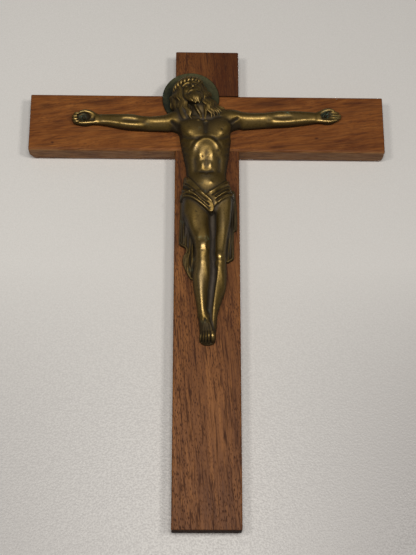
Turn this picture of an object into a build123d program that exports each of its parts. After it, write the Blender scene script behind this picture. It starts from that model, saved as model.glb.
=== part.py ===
"""Wall crucifix: two hardwood boards cross-halved together, a cast brass corpus
fixed on the front, a round nimbus plate behind the head, and a keyhole hanger
plate let into the back.

Frame (millimetres): +Z up along the upright, the back faces lie on the plane
Y = 0 against the wall, and the front looks along -Y.  +X is to the right of a
person who faces the front.  The origin is the centre of the hanger plate's
entry hole on the wall plane.
"""

import os

from build123d import *

os.makedirs("parts", exist_ok=True)

# ---------------------------------------------------------------- dimensions
# boards
UPRIGHT_W = 40.0          # width of the upright board
UPRIGHT_TOP = 20.0        # top end above the hanger hole
UPRIGHT_H = 303.0         # overall height
BAR_L = 222.6             # length of the crossbar
BAR_W = 38.6              # width of the crossbar board
BAR_BELOW_TOP = 31.4      # top edge of the crossbar below the top end
BOARD_T = 12.5            # thickness of both boards
EDGE_R = 0.9              # eased long edges
BAR_FRONT_R = 1.5         # the crossbar's front edges are rounder
BAR_WEAR = [(-1, 3.0, 5.5, 2.6), (1, 1.3, 3.2, 1.3)]  # worn lower back corners: end, reach in X, Y, Z
END_R = 0.6               # eased end-grain edges
LAP = BOARD_T / 2         # depth of each half of the cross-halving joint

UPRIGHT_BOTTOM = UPRIGHT_TOP - UPRIGHT_H
BAR_TOP = UPRIGHT_TOP - BAR_BELOW_TOP
BAR_BOTTOM = BAR_TOP - BAR_W
BAR_MID = (BAR_TOP + BAR_BOTTOM) / 2
FRONT = -BOARD_T          # plane of the wood's front face

# nimbus plate
NIMBUS_R = 18.0
NIMBUS_T = 1.0            # thickness at the middle
NIMBUS_DISH = 1.0         # rise of the front from the middle to the rim
NIMBUS_LIP = 0.35         # eased front rim
NIMBUS_X, NIMBUS_Z = -10.3, -14.3
NIMBUS_PIN_R = 1.0
NIMBUS_PIN_X, NIMBUS_PIN_Z = -10.3, -15.5
NIMBUS_PIN_IN_HEAD = 4.0
NIMBUS_PIN_HEAD_R = 2.0
NIMBUS_PIN_HEAD_T = 0.8

# nails through the hands and the feet
NAIL_R = 0.8
NAIL_HEAD_R = 1.05
NAIL_HEAD_H = 0.8
NAIL_IN_WOOD = 8.0
HAND_NAILS = [(-77.2, -29.6), (74.6, -26.5)]
HAND_NAIL_SEAT = 2.9      # height of the palm under the nail head, above the wood
FOOT_NAIL = (-1.3, -163.3)
FOOT_NAIL_SEAT = 8.8
FOOT_NAIL_R = 0.8
FOOT_NAIL_HEAD_R = 1.05

# machine screws from the back into the corpus
SCREW_R = 2.0             # thread, nominal size 4
SCREW_CLEAR_R = 2.2
SCREW_HEAD_R = 3.8
SCREW_HEAD_H = 2.3
SCREW_INTO_CORPUS = 6.0
CORPUS_SCREWS = [(0.0, -42.0), (0.0, -84.0)]

# wood screws through the cross-halving joint, from the back
LAP_SCREW_R = 1.5
LAP_SCREW_HEAD_R = 2.9
LAP_SCREW_HEAD_H = 1.7
LAP_SCREW_L = 10.5
LAP_SCREWS = [(-13.0, -21.0), (13.0, -40.5)]

# hanger plate with a keyhole, flush in the back of the upright
HANGER_HALF_W = 16.0
HANGER_LOW, HANGER_HIGH = -9.5, 13.0
HANGER_T = 1.2
HANGER_CORNER_R = 3.0
KEYHOLE_R = 4.5
KEYHOLE_SLOT_R = 2.2
KEYHOLE_SLOT_Z = 7.5
HANGER_POCKET_R = 5.6
HANGER_POCKET_DEEP = 7.5
HANGER_SCREW_X, HANGER_SCREW_Z = 11.2, 1.5
HANGER_SCREW_R = 1.25
HANGER_SCREW_HEAD_R = 2.4
HANGER_SCREW_L = 8.0


# ------------------------------------------------------------------- helpers
def box(x0, x1, y0, y1, z0, z1):
    """A plain block between two corners."""
    return Pos((x0 + x1) / 2, (y0 + y1) / 2, (z0 + z1) / 2) * Box(
        x1 - x0, y1 - y0, z1 - z0
    )


def rod(x, z, r, y0, y1, r2=None):
    """A round bar along Y from y0 to y1, or a cone if r2 is given at y1."""
    low, high = min(y0, y1), max(y0, y1)
    at = Pos(x, (low + high) / 2, z) * Rot(-90, 0, 0)
    if r2 is None:
        return at * Cylinder(r, high - low)
    ra, rb = (r, r2) if y0 < y1 else (r2, r)
    return at * Cone(ra, rb, high - low)


def section_z(x, z, front, ax, ay):
    """A level elliptical section whose foremost point is `front` above the wood."""
    return Plane(
        origin=(x, FRONT - front + ay, z), x_dir=(1, 0, 0), z_dir=(0, 0, 1)
    ) * Ellipse(ax, ay)


def section_x(x, z, mid, az, ay):
    """An upright elliptical section across an arm; `mid` is its height above the wood."""
    return Plane(
        origin=(x, FRONT - mid, z), x_dir=(0, 0, 1), z_dir=(1, 0, 0)
    ) * Ellipse(az, ay)


def section_dir(p, d, a, b):
    """An elliptical section at p=(x, height, z), square to the direction d in the XZ plane."""
    dx, dz = d
    n = (dx * dx + dz * dz) ** 0.5
    dx, dz = dx / n, dz / n
    return Plane(
        origin=(p[0], FRONT - p[1], p[2]), x_dir=(-dz, 0, dx), z_dir=(dx, 0, dz)
    ) * Ellipse(a, b)


def ellipsoid(x, up, z, a, b, c, lean=0.0):
    """An ellipsoid with half axes a, b, c along X, Y and Z, leaned about Y in degrees."""
    return Pos(x, FRONT - up, z) * Rot(0, lean, 0) * scale(Sphere(1.0), by=(a, b, c))


def plate_from(points, y0, y1):
    """A flat plate of the outline `points` (x, z) between two planes square to Y."""
    wire = Polyline(*[(x, y0, z) for x, z in points], close=True)
    face = make_face(wire)
    return extrude(face, amount=abs(y1 - y0), dir=(0, 1 if y1 > y0 else -1, 0))


def save(shape, name):
    export_step(shape, f"parts/{name}.step")
    size = shape.bounding_box().size
    print(
        f"{name:16s} solids {len(shape.solids())} volume {shape.volume:9.1f} mm3 "
        f"size {size.X:.1f} {size.Y:.1f} {size.Z:.1f}"
    )


# -------------------------------------------------------------------- boards
def board(x0, x1, z0, z1, along, front_r):
    b = box(x0, x1, FRONT, 0.0, z0, z1)
    long_edges = b.edges().filter_by(along).sort_by(Axis.Y)
    b = fillet(long_edges[:2], front_r)
    long_edges = b.edges().filter_by(along).sort_by(Axis.Y)
    b = fillet(long_edges[-2:], EDGE_R)
    ends = b.faces().filter_by(along).edges()
    return chamfer(ends, END_R * 0.5)


upright = board(
    -UPRIGHT_W / 2, UPRIGHT_W / 2, UPRIGHT_BOTTOM, UPRIGHT_TOP, Axis.Z, EDGE_R
)
crossbar = board(-BAR_L / 2, BAR_L / 2, BAR_BOTTOM, BAR_TOP, Axis.X, BAR_FRONT_R)

# the lower back corners of the crossbar are worn off slantwise
for side, rx, ry, rz in BAR_WEAR:
    crossbar = split(
        crossbar,
        bisect_by=Plane(
            origin=(side * (BAR_L / 2 - rx), 0, BAR_BOTTOM),
            z_dir=(-side / rx, -1 / ry, 1 / rz),
        ),
        keep=Keep.TOP,
    )

# cross-halving joint: the crossbar's front half runs over the upright's back half
upright -= box(-UPRIGHT_W, UPRIGHT_W, FRONT - 1, FRONT + LAP, BAR_BOTTOM, BAR_TOP)
crossbar -= box(
    -UPRIGHT_W / 2, UPRIGHT_W / 2, -LAP, 1.0, BAR_BOTTOM - 1, BAR_TOP + 1
)

# ------------------------------------------------------------- hanger plate
hanger_outline = Pos(0, 0, (HANGER_LOW + HANGER_HIGH) / 2) * (
    Rot(90, 0, 0)
    * extrude(
        RectangleRounded(
            2 * HANGER_HALF_W, HANGER_HIGH - HANGER_LOW, HANGER_CORNER_R
        ),
        amount=HANGER_T,
    )
)
# the sketch stands in the XZ plane and is carried forward from the wall plane
hanger_outline = Pos(0, -hanger_outline.bounding_box().max.Y, 0) * hanger_outline

hanger_plate = hanger_outline
hanger_plate -= rod(0, 0, KEYHOLE_R, -3, 1)
hanger_plate -= rod(0, KEYHOLE_SLOT_Z, KEYHOLE_SLOT_R, -3, 1)
hanger_plate -= box(-KEYHOLE_SLOT_R, KEYHOLE_SLOT_R, -3, 1, 0, KEYHOLE_SLOT_Z)

hanger_screws = []
for x in (-HANGER_SCREW_X, HANGER_SCREW_X):
    head = rod(x, HANGER_SCREW_Z, HANGER_SCREW_R, -HANGER_T, 0.0, HANGER_SCREW_HEAD_R)
    shank = rod(x, HANGER_SCREW_Z, HANGER_SCREW_R, -HANGER_SCREW_L + 1.5, -HANGER_T)
    tip = rod(x, HANGER_SCREW_Z, 0.2, -HANGER_SCREW_L, -HANGER_SCREW_L + 1.5, HANGER_SCREW_R)
    whole = head + shank + tip
    hanger_plate -= head
    upright -= whole
    slot = Pos(x, 0, HANGER_SCREW_Z) * Rot(0, 35 if x < 0 else -20, 0) * Box(6, 1.2, 0.7)
    hanger_screws.append(whole - slot)
upright -= hanger_outline
upright -= rod(0, 0, HANGER_POCKET_R, -HANGER_POCKET_DEEP, 1)
upright -= rod(0, KEYHOLE_SLOT_Z, HANGER_POCKET_R, -HANGER_POCKET_DEEP, 1)
upright -= box(
    -HANGER_POCKET_R, HANGER_POCKET_R, -HANGER_POCKET_DEEP, 1, 0, KEYHOLE_SLOT_Z
)

# --------------------------------------------------------------- lap screws
lap_screws = []
for n, (x, z) in enumerate(LAP_SCREWS):
    head = rod(x, z, LAP_SCREW_R, -LAP_SCREW_HEAD_H, 0.0, LAP_SCREW_HEAD_R)
    shank = rod(x, z, LAP_SCREW_R, -LAP_SCREW_L + 2.0, -LAP_SCREW_HEAD_H)
    tip = rod(x, z, 0.2, -LAP_SCREW_L, -LAP_SCREW_L + 2.0, LAP_SCREW_R)
    whole = head + shank + tip
    upright -= whole
    crossbar -= whole
    slot = Pos(x, 0, z) * Rot(0, 50 if n else 15, 0) * Box(8, 1.6, 0.8)
    lap_screws.append(whole - slot)

# ------------------------------------------------------------------- corpus
# Trunk: level sections from the collar to the seat.
trunk = loft(
    [
        section_z(-2.6, -27.0, 9.0, 7.0, 6.5),
        section_z(-2.2, -31.5, 10.6, 15.5, 9.0),
        section_z(-1.8, -38.0, 13.2, 17.2, 11.0),
        section_z(-1.4, -45.0, 14.6, 16.6, 11.5),
        section_z(-0.9, -54.0, 14.2, 14.6, 11.2),
        section_z(-0.5, -63.0, 12.8, 12.8, 10.0),
        section_z(-0.4, -70.0, 12.4, 12.2, 9.6),
        section_z(0.2, -78.0, 13.0, 14.8, 10.6),
        section_z(0.6, -86.0, 13.4, 16.6, 11.2),
        section_z(0.6, -95.0, 12.0, 15.6, 10.4),
    ]
)

# Arms, from inside the shoulders through the wrists to the open hands.
arm_right = loft(
    [
        section_x(-9.0, -33.5, 6.2, 6.4, 6.6),
        section_x(-19.0, -33.2, 5.2, 6.0, 5.6),
        section_x(-30.0, -33.4, 4.4, 4.7, 4.7),
        section_x(-41.5, -33.2, 4.0, 4.3, 4.2),
        section_x(-52.0, -32.4, 4.0, 4.3, 4.2),
        section_x(-60.0, -31.3, 3.6, 3.9, 3.4),
        section_x(-66.5, -30.6, 3.2, 3.4, 2.8),
        section_x(-70.5, -30.2, 3.0, 3.6, 2.6),
        section_x(-75.0, -29.7, 2.8, 4.3, 2.6),
        section_x(-79.5, -30.0, 3.0, 4.0, 2.8),
        section_x(-83.4, -30.4, 3.4, 2.7, 2.4),
    ]
)
arm_left = loft(
    [
        section_x(7.0, -33.0, 6.2, 6.4, 6.6),
        section_x(17.5, -31.9, 5.2, 6.1, 5.6),
        section_x(29.5, -31.3, 4.5, 4.9, 4.8),
        section_x(43.0, -30.3, 4.2, 4.6, 4.4),
        section_x(54.0, -29.4, 4.0, 4.3, 4.2),
        section_x(62.0, -28.6, 3.6, 4.0, 3.4),
        section_x(67.5, -28.1, 3.2, 3.5, 2.8),
        section_x(71.5, -27.8, 3.0, 3.7, 2.6),
        section_x(76.0, -27.4, 2.8, 4.4, 2.6),
        section_x(80.5, -27.6, 3.0, 3.6, 2.6),
        section_x(83.8, -27.9, 3.2, 2.2, 2.2),
    ]
)

# Legs and feet: the right leg (viewer's left) crosses in front at the ankles.
leg_right = loft(
    [
        section_dir((-7.6, 6.4, -84.0), (0.10, -1), 8.2, 7.0),
        section_dir((-6.6, 7.0, -96.0), (0.12, -1), 7.8, 7.4),
        section_dir((-4.6, 8.4, -108.0), (0.14, -1), 6.6, 6.8),
        section_dir((-2.9, 9.0, -118.0), (0.03, -1), 5.3, 5.9),
        section_dir((-3.4, 7.6, -126.0), (0.02, -1), 4.9, 5.6),
        section_dir((-3.4, 7.0, -136.0), (0.06, -1), 5.2, 5.6),
        section_dir((-2.4, 6.8, -148.0), (0.12, -1), 3.9, 4.6),
        section_dir((-0.9, 6.6, -158.0), (0.08, -1), 2.7, 3.4),
        section_dir((-0.2, 6.2, -163.5), (0.04, -1), 3.3, 3.6),
        section_dir((0.2, 5.0, -170.0), (-0.02, -1), 4.2, 3.2),
        section_dir((0.3, 3.6, -175.4), (-0.02, -1), 4.4, 2.4),
        section_dir((0.3, 3.0, -177.2), (-0.02, -1), 3.8, 1.7),
    ]
)
leg_left = loft(
    [
        section_dir((9.4, 6.0, -84.0), (-0.05, -1), 7.8, 6.8),
        section_dir((9.2, 6.4, -96.0), (-0.06, -1), 7.4, 7.0),
        section_dir((8.4, 7.2, -110.0), (-0.08, -1), 6.2, 6.4),
        section_dir((7.4, 7.6, -123.0), (-0.05, -1), 5.0, 5.6),
        section_dir((7.2, 6.2, -131.0), (-0.06, -1), 4.7, 5.0),
        section_dir((6.6, 5.4, -141.0), (-0.16, -1), 4.8, 5.0),
        section_dir((4.8, 4.8, -152.0), (-0.16, -1), 3.6, 4.0),
        section_dir((3.4, 4.3, -161.0), (-0.04, -1), 2.6, 3.1),
        section_dir((3.6, 3.6, -167.0), (0.00, -1), 2.5, 3.0),
        section_dir((3.7, 2.8, -172.6), (-0.02, -1), 2.2, 2.4),
        section_dir((3.5, 2.4, -175.2), (-0.02, -1), 1.7, 1.8),
    ]
)

# Head, neck, hair and beard volumes, leaning to the figure's right.
neck = loft(
    [
        section_dir((-1.8, 7.6, -33.0), (-0.35, 1), 6.0, 5.6),
        section_dir((-4.4, 8.4, -26.5), (-0.38, 1), 4.6, 4.6),
        section_dir((-6.9, 9.0, -20.0), (-0.38, 1), 4.8, 4.8),
    ]
)
head = ellipsoid(-10.0, 9.6, -14.6, 7.6, 8.8, 10.8, lean=-20)
hair_cap = ellipsoid(-11.6, 7.2, -12.6, 10.6, 8.0, 10.2, lean=-20)
hair_right = loft(
    [
        section_dir((-18.2, 6.6, -12.0), (0.10, -1), 4.0, 4.6),
        section_dir((-18.8, 6.2, -20.0), (0.16, -1), 3.8, 4.6),
        section_dir((-16.4, 7.0, -27.0), (0.36, -1), 3.4, 4.2),
        section_dir((-13.6, 8.4, -33.6), (0.30, -1), 1.8, 2.4),
    ]
)
hair_left = loft(
    [
        section_dir((-2.4, 7.2, -13.0), (0.24, -1), 3.4, 4.6),
        section_dir((0.4, 7.0, -21.0), (0.36, -1), 3.4, 4.4),
        section_dir((4.4, 8.0, -27.5), (0.70, -1), 3.2, 3.8),
        section_dir((9.0, 9.2, -32.0), (0.80, -1), 1.8, 2.2),
    ]
)

# Loincloth round the hips, and its two loose ends hanging beside the legs.
loincloth = loft(
    [
        section_z(0.0, -72.5, 13.2, 13.6, 10.2),
        section_z(0.3, -78.5, 14.4, 16.4, 11.6),
        section_z(0.5, -85.0, 14.8, 17.2, 12.0),
        section_z(0.6, -90.5, 14.0, 16.6, 11.4),
    ]
)
drape_right = plate_from(
    [
        (-15.9, -78.0),
        (-17.2, -95.0),
        (-17.2, -111.5),
        (-16.2, -114.1),
        (-12.5, -115.7),
        (-11.6, -119.0),
        (-14.3, -121.0),
        (-14.8, -124.7),
        (-13.0, -129.2),
        (-9.2, -135.2),
        (1.5, -129.0),
        (1.5, -80.0),
    ],
    FRONT,
    FRONT - 2.6,
)
drape_left = plate_from(
    [
        (16.6, -76.0),
        (18.1, -83.0),
        (18.3, -98.0),
        (18.1, -104.0),
        (16.4, -105.2),
        (16.0, -114.0),
        (16.1, -122.0),
        (12.2, -125.0),
        (1.0, -122.0),
        (1.0, -80.0),
    ],
    FRONT,
    FRONT - 2.4,
)

corpus = trunk
for piece in (
    loincloth,
    leg_left,
    leg_right,
    drape_left,
    drape_right,
    arm_right,
    arm_left,
    neck,
    hair_cap,
    head,
    hair_right,
    hair_left,
):
    corpus = corpus + piece

# the cast back is ground flat, so that it beds on the boards
corpus -= box(-130, 130, FRONT, 40, -320, 60)

# ------------------------------------------------------------------- nimbus
# a flat-backed plate whose front is a shallow dish with an eased rim
lip = NIMBUS_R - NIMBUS_LIP
lip_y = FRONT - NIMBUS_T - NIMBUS_DISH * (lip / NIMBUS_R) ** 2
dish = make_face(
    [
        Line((0, FRONT), (NIMBUS_R, FRONT)),
        Line((NIMBUS_R, FRONT), (NIMBUS_R, lip_y + NIMBUS_LIP)),
        Line((NIMBUS_R, lip_y + NIMBUS_LIP), (lip, lip_y)),
        ThreePointArc(
            (lip, lip_y),
            (lip / 2, FRONT - NIMBUS_T - NIMBUS_DISH * (lip / NIMBUS_R) ** 2 / 4),
            (0, FRONT - NIMBUS_T),
        ),
        Line((0, FRONT - NIMBUS_T), (0, FRONT)),
    ]
)
nimbus = Pos(NIMBUS_X, 0, NIMBUS_Z) * revolve(dish, Axis.Y, 360)

# seat for the plate in the back of the head and shoulder
corpus -= nimbus

# pin that carries the nimbus on the back of the head; its flat head is sunk in the wood
pin_y0 = FRONT + NIMBUS_PIN_HEAD_T
nimbus_pin = rod(
    NIMBUS_PIN_X, NIMBUS_PIN_Z, NIMBUS_PIN_R, FRONT, FRONT - NIMBUS_T - NIMBUS_PIN_IN_HEAD
) + rod(NIMBUS_PIN_X, NIMBUS_PIN_Z, NIMBUS_PIN_HEAD_R, FRONT, pin_y0)
nimbus -= nimbus_pin
corpus -= nimbus_pin
crossbar -= nimbus_pin
upright -= nimbus_pin

# -------------------------------------------------------------------- nails
def nail(x, z, seat, r, head_r):
    shank = rod(x, z, r, FRONT - seat, FRONT + NAIL_IN_WOOD - 2.0)
    tip = rod(x, z, r, FRONT + NAIL_IN_WOOD - 2.0, FRONT + NAIL_IN_WOOD, 0.2)
    head = rod(x, z, head_r, FRONT - seat - NAIL_HEAD_H * 0.45, FRONT - seat)
    dome = rod(
        x, z, head_r * 0.62, FRONT - seat - NAIL_HEAD_H, FRONT - seat - NAIL_HEAD_H * 0.45, head_r
    )
    return shank + tip + head + dome


hand_nails = [nail(x, z, HAND_NAIL_SEAT, NAIL_R, NAIL_HEAD_R) for x, z in HAND_NAILS]
foot_nail = nail(*FOOT_NAIL, FOOT_NAIL_SEAT, FOOT_NAIL_R, FOOT_NAIL_HEAD_R)
for n, (x, z) in zip(hand_nails, HAND_NAILS):
    crossbar -= n
    corpus -= n
    # the palm is hollowed round the nail head
    corpus -= rod(x, z, NAIL_HEAD_R + 0.25, FRONT - HAND_NAIL_SEAT, FRONT - 9)
upright -= foot_nail
corpus -= foot_nail
corpus -= rod(*FOOT_NAIL, FOOT_NAIL_HEAD_R + 0.25, FRONT - FOOT_NAIL_SEAT, FRONT - 16)

# ----------------------------------------------------- screws into the corpus
corpus_screws = []
for n, (x, z) in enumerate(CORPUS_SCREWS):
    head = rod(x, z, SCREW_R, -SCREW_HEAD_H, 0.0, SCREW_HEAD_R)
    shank = rod(x, z, SCREW_R, FRONT - SCREW_INTO_CORPUS, -SCREW_HEAD_H)
    whole = head + shank
    clearance = rod(x, z, SCREW_CLEAR_R, FRONT - 1, -SCREW_HEAD_H + 0.1)
    upright = upright - head - clearance
    crossbar = crossbar - head - clearance
    corpus -= shank
    slot = Pos(x, 0, z) * Rot(0, 25 if n else 70, 0) * Box(9, 2.2, 1.0)
    corpus_screws.append(whole - slot)

# ------------------------------------------------------------------- output
save(upright, "upright")
save(crossbar, "crossbar")
save(Compound(children=lap_screws), "lap_screws")
save(corpus, "corpus")
save(Compound(children=corpus_screws), "corpus_screws")
save(Compound(children=hand_nails), "hand_nails")
save(foot_nail, "foot_nail")
save(nimbus, "nimbus")
save(nimbus_pin, "nimbus_pin")
save(hanger_plate, "hanger_plate")
save(Compound(children=hanger_screws), "hanger_screws")
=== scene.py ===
"""Looks of the wall crucifix: sculpted brass corpus, patinated nimbus, hardwood boards.

Everything is in the model's own frame, in metres: +Z up the upright, the front
looks along -Y, and the boards' front face lies at y = -12.5 mm.  The sculpting
works in millimetres, with d = height above that front face.
"""

import bpy
import numpy as np
import openvdb
from mathutils import Matrix, Vector


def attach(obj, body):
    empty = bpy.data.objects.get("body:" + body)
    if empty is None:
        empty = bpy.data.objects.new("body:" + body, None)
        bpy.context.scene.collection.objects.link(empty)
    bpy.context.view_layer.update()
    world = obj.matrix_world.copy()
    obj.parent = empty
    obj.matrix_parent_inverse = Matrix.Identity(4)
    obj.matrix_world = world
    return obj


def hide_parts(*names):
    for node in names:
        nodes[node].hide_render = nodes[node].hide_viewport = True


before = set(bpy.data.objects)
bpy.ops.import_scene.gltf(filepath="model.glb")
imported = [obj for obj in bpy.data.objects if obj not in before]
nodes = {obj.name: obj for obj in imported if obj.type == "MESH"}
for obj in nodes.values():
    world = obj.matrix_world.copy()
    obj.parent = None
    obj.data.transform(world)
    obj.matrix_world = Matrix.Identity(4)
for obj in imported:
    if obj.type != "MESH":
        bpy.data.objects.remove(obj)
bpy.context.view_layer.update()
MM = 0.001
FRONT = -12.5  # front face of the boards, in millimetres


# =====================================================================
# Camera: the photograph's viewing angle
# =====================================================================
def make_camera():
    cam = bpy.data.cameras.new("camera")
    cam.sensor_width = 36.0
    cam.lens = 75.863
    cam.clip_start = 0.01
    cam.dof.use_dof = False
    ob = bpy.data.objects.new("camera", cam)
    bpy.context.scene.collection.objects.link(ob)
    right = Vector((0.99976016, -0.0218984, 0.00028517)).normalized()
    up = Vector((-0.00753178, -0.33157432, 0.94339904)).normalized()
    back = right.cross(up).normalized()
    up = back.cross(right).normalized()
    m = Matrix((right, up, back)).transposed().to_4x4()
    m.translation = Vector((-0.01385, -0.67443, -0.36642))
    ob.matrix_world = m
    bpy.context.scene.camera = ob


make_camera()


# =====================================================================
# Clay: a signed distance field on a grid, in millimetres
# =====================================================================
H = 0.30
LO = np.array([-87.0, -0.9, -180.6])
HI = np.array([87.0, 21.6, 0.6])


def smooth_min(a, b, k):
    if k <= 0:
        return np.minimum(a, b)
    h = np.maximum(k - np.abs(a - b), 0.0) / k
    return np.minimum(a, b) - h * h * (k * 0.25)


def smooth_max(a, b, k):
    return -smooth_min(-a, -b, k)


def curve(points, n=8):
    """A Catmull-Rom line through the rows of points, n steps a span."""
    p = np.asarray(points, np.float64)
    if len(p) < 3:
        t = np.linspace(0, 1, n + 1)[:, None]
        return p[0] * (1 - t) + p[-1] * t
    q = np.vstack([2 * p[0] - p[1], p, 2 * p[-1] - p[-2]])
    out = []
    for i in range(1, len(q) - 2):
        a, b, c, d = q[i - 1], q[i], q[i + 1], q[i + 2]
        t = np.linspace(0, 1, n, endpoint=False)[:, None]
        out.append(
            0.5
            * (
                2 * b
                + (c - a) * t
                + (2 * a - 5 * b + 4 * c - d) * t**2
                + (3 * b - a - 3 * c + d) * t**3
            )
        )
    out.append(q[-2][None])
    return np.vstack(out)


def table_of(rows):
    """Columns of a section table, smoothed: returns a function of the first column."""
    r = np.asarray(rows, np.float64)
    r = r[np.argsort(r[:, 0])]
    c = curve(r, 10)
    key = np.maximum.accumulate(c[:, 0])

    def at(v):
        return [np.interp(v, key, c[:, i]).astype(np.float32) for i in range(1, r.shape[1])]

    return at


class Clay:
    def __init__(self, lo=LO, hi=HI, h=H):
        self.h = h
        self.lo = lo
        self.n = np.ceil((hi - lo) / h).astype(int) + 1
        self.ax = [
            (lo[i] + h * np.arange(self.n[i])).astype(np.float32) for i in range(3)
        ]
        self.f = np.full(self.n, 30.0, np.float32)

    def part(self, lo, hi):
        a = np.clip(np.floor((np.asarray(lo) - self.lo) / self.h).astype(int), 0, self.n)
        b = np.clip(np.ceil((np.asarray(hi) - self.lo) / self.h).astype(int) + 1, 0, self.n)
        sl = tuple(slice(a[i], b[i]) for i in range(3))
        x = self.ax[0][sl[0]][:, None, None]
        d = self.ax[1][sl[1]][None, :, None]
        z = self.ax[2][sl[2]][None, None, :]
        return sl, x, d, z

    def union(self, sl, v, k):
        self.f[sl] = smooth_min(self.f[sl], v, k)

    def carve(self, sl, v, k):
        self.f[sl] = smooth_max(self.f[sl], -v, k)

    # ---- shapes --------------------------------------------------------
    def loft_z(self, rows, k, p=2.0, cap=1.5, skew=None):
        """Level sections: rows of (z, x, half width, mid height, half depth).

        skew, pairs of (level, share of the half width) from low to high, moves the
        top of the section to one side."""
        r = np.asarray(rows, float)
        m = 3.0 + k
        lo = [(r[:, 1] - r[:, 2]).min() - m, -1, r[:, 0].min() - 1]
        hi = [(r[:, 1] + r[:, 2]).max() + m, (r[:, 3] + r[:, 4]).max() + m, r[:, 0].max() + 1]
        sl, x, d, z = self.part(lo, hi)
        cx, a, cd, b = table_of(rows)(z)
        if np.ndim(p):  # (level, squareness) pairs, from low to high
            p = np.interp(z, [q[0] for q in p], [q[1] for q in p]).astype(np.float32)
        u, v = x - cx, d - cd
        if skew:
            s = np.interp(z, [q[0] for q in skew], [q[1] for q in skew]).astype(np.float32)
            u = u - s * a
            a = np.where(u > 0, a * (1 - s), a * (1 + s))
        rho = ((np.abs(u) / a) ** p + (np.abs(v) / b) ** p) ** (1.0 / p)
        q = np.sqrt(u * u + v * v)
        f = q - q / np.maximum(rho, 1e-4)
        f = smooth_max(f, np.maximum(z - r[:, 0].max(), r[:, 0].min() - z) + 0 * f, cap)
        self.union(sl, f, k)

    def loft_x(self, rows, k, p=2.0, cap=1.0, ridge=None, slope=0.9, soft=1.8):
        """Sections across an arm: rows of (x, z, half height, mid, half depth).

        A ridge of (x, z, height) points slants the surface down below it; the
        slant fades out along the last of them, at the elbow."""
        r = np.asarray(rows, float)
        m = 3.0 + k
        lo = [r[:, 0].min() - 1, -1, (r[:, 1] - r[:, 2]).min() - m]
        hi = [r[:, 0].max() + 1, (r[:, 3] + r[:, 4]).max() + m, (r[:, 1] + r[:, 2]).max() + m]
        sl, x, d, z = self.part(lo, hi)
        cz, a, cd, b = table_of(rows)(x)
        if np.ndim(p):  # (place, squareness) pairs, from left to right
            p = np.interp(x, [q[0] for q in p], [q[1] for q in p]).astype(np.float32)
        u, v = z - cz, d - cd
        rho = ((np.abs(u) / a) ** p + (np.abs(v) / b) ** p) ** (1.0 / p)
        q = np.sqrt(u * u + v * v)
        f = q - q / np.maximum(rho, 1e-4)
        if ridge:
            q = np.asarray(sorted(ridge), float)
            zr, dr = (np.interp(x, q[:, 0], q[:, i]).astype(np.float32) for i in (1, 2))
            far = max(abs(q[0, 0]), abs(q[-1, 0]))
            fade = np.clip((far - np.abs(x)) / 10.0, 0, 1)
            fade = fade * fade * (3 - 2 * fade)
            plane = ((d - dr) - slope * (z - zr)) / np.hypot(1, slope) - (1 - fade) * 6.0
            f = smooth_max(f, plane.astype(np.float32), soft)
        f = smooth_max(f, np.maximum(x - r[:, 0].max(), r[:, 0].min() - x) + 0 * f, cap)
        self.union(sl, f, k)

    def tube_field(self, pts, radii, margin, flat=1.0, n=6):
        """Distance to a smooth line of changing radius; flat squashes it in height."""
        p = np.asarray(pts, float)
        r = np.asarray(radii, float) if np.ndim(radii) else np.full(len(p), float(radii))
        c = curve(np.hstack([p, r[:, None]]), n)
        m = margin + r.max()
        lo, hi = c[:, :3].min(0) - m, c[:, :3].max(0) + m
        sl, x, d, z = self.part(lo, hi)
        shape = tuple(s.stop - s.start for s in sl)
        f = np.full(shape, 30.0, np.float32)
        for a, b in zip(c[:-1], c[1:]):
            ab = (b - a)[:3] * np.array([1, 1 / flat, 1])
            L = float(ab @ ab) + 1e-9
            px, pd, pz = x - a[0], (d - a[1]) / flat, z - a[2]
            t = np.clip((px * ab[0] + pd * ab[1] + pz * ab[2]) / L, 0, 1)
            dist = np.sqrt(
                (px - t * ab[0]) ** 2 + (pd - t * ab[1]) ** 2 + (pz - t * ab[2]) ** 2
            )
            np.minimum(f, (dist - (a[3] + (b[3] - a[3]) * t)) * min(1.0, flat), out=f)
        return sl, f

    def tube(self, pts, radii, k, flat=1.0, n=6):
        sl, f = self.tube_field(pts, radii, 2.0 + k, flat, n)
        self.union(sl, f, k)

    def groove(self, pts, radii, k, n=6):
        sl, f = self.tube_field(pts, radii, 2.0 + k, 1.0, n)
        self.carve(sl, f, k)

    def blob_field(self, c, r, margin, turn=None):
        c, r = np.asarray(c, float), np.asarray(r, float)
        m = r.max() + margin
        sl, x, d, z = self.part(c - m, c + m)
        u, v, w = x - c[0], d - c[1], z - c[2]
        if turn is not None:
            t = np.asarray(turn, float)  # rows: the blob's own axes
            u, v, w = (
                t[0][0] * u + t[0][1] * v + t[0][2] * w,
                t[1][0] * u + t[1][1] * v + t[1][2] * w,
                t[2][0] * u + t[2][1] * v + t[2][2] * w,
            )
        k0 = np.sqrt((u / r[0]) ** 2 + (v / r[1]) ** 2 + (w / r[2]) ** 2)
        k1 = np.sqrt((u / r[0] ** 2) ** 2 + (v / r[1] ** 2) ** 2 + (w / r[2] ** 2) ** 2)
        return sl, (k0 * (k0 - 1.0) / np.maximum(k1, 1e-5)).astype(np.float32)

    def blob(self, c, r, k, turn=None):
        sl, f = self.blob_field(c, r, 2.0 + k, turn)
        self.union(sl, f, k)

    def hollow(self, c, r, k, turn=None):
        sl, f = self.blob_field(c, r, 2.0 + k, turn)
        self.carve(sl, f, k)

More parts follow.
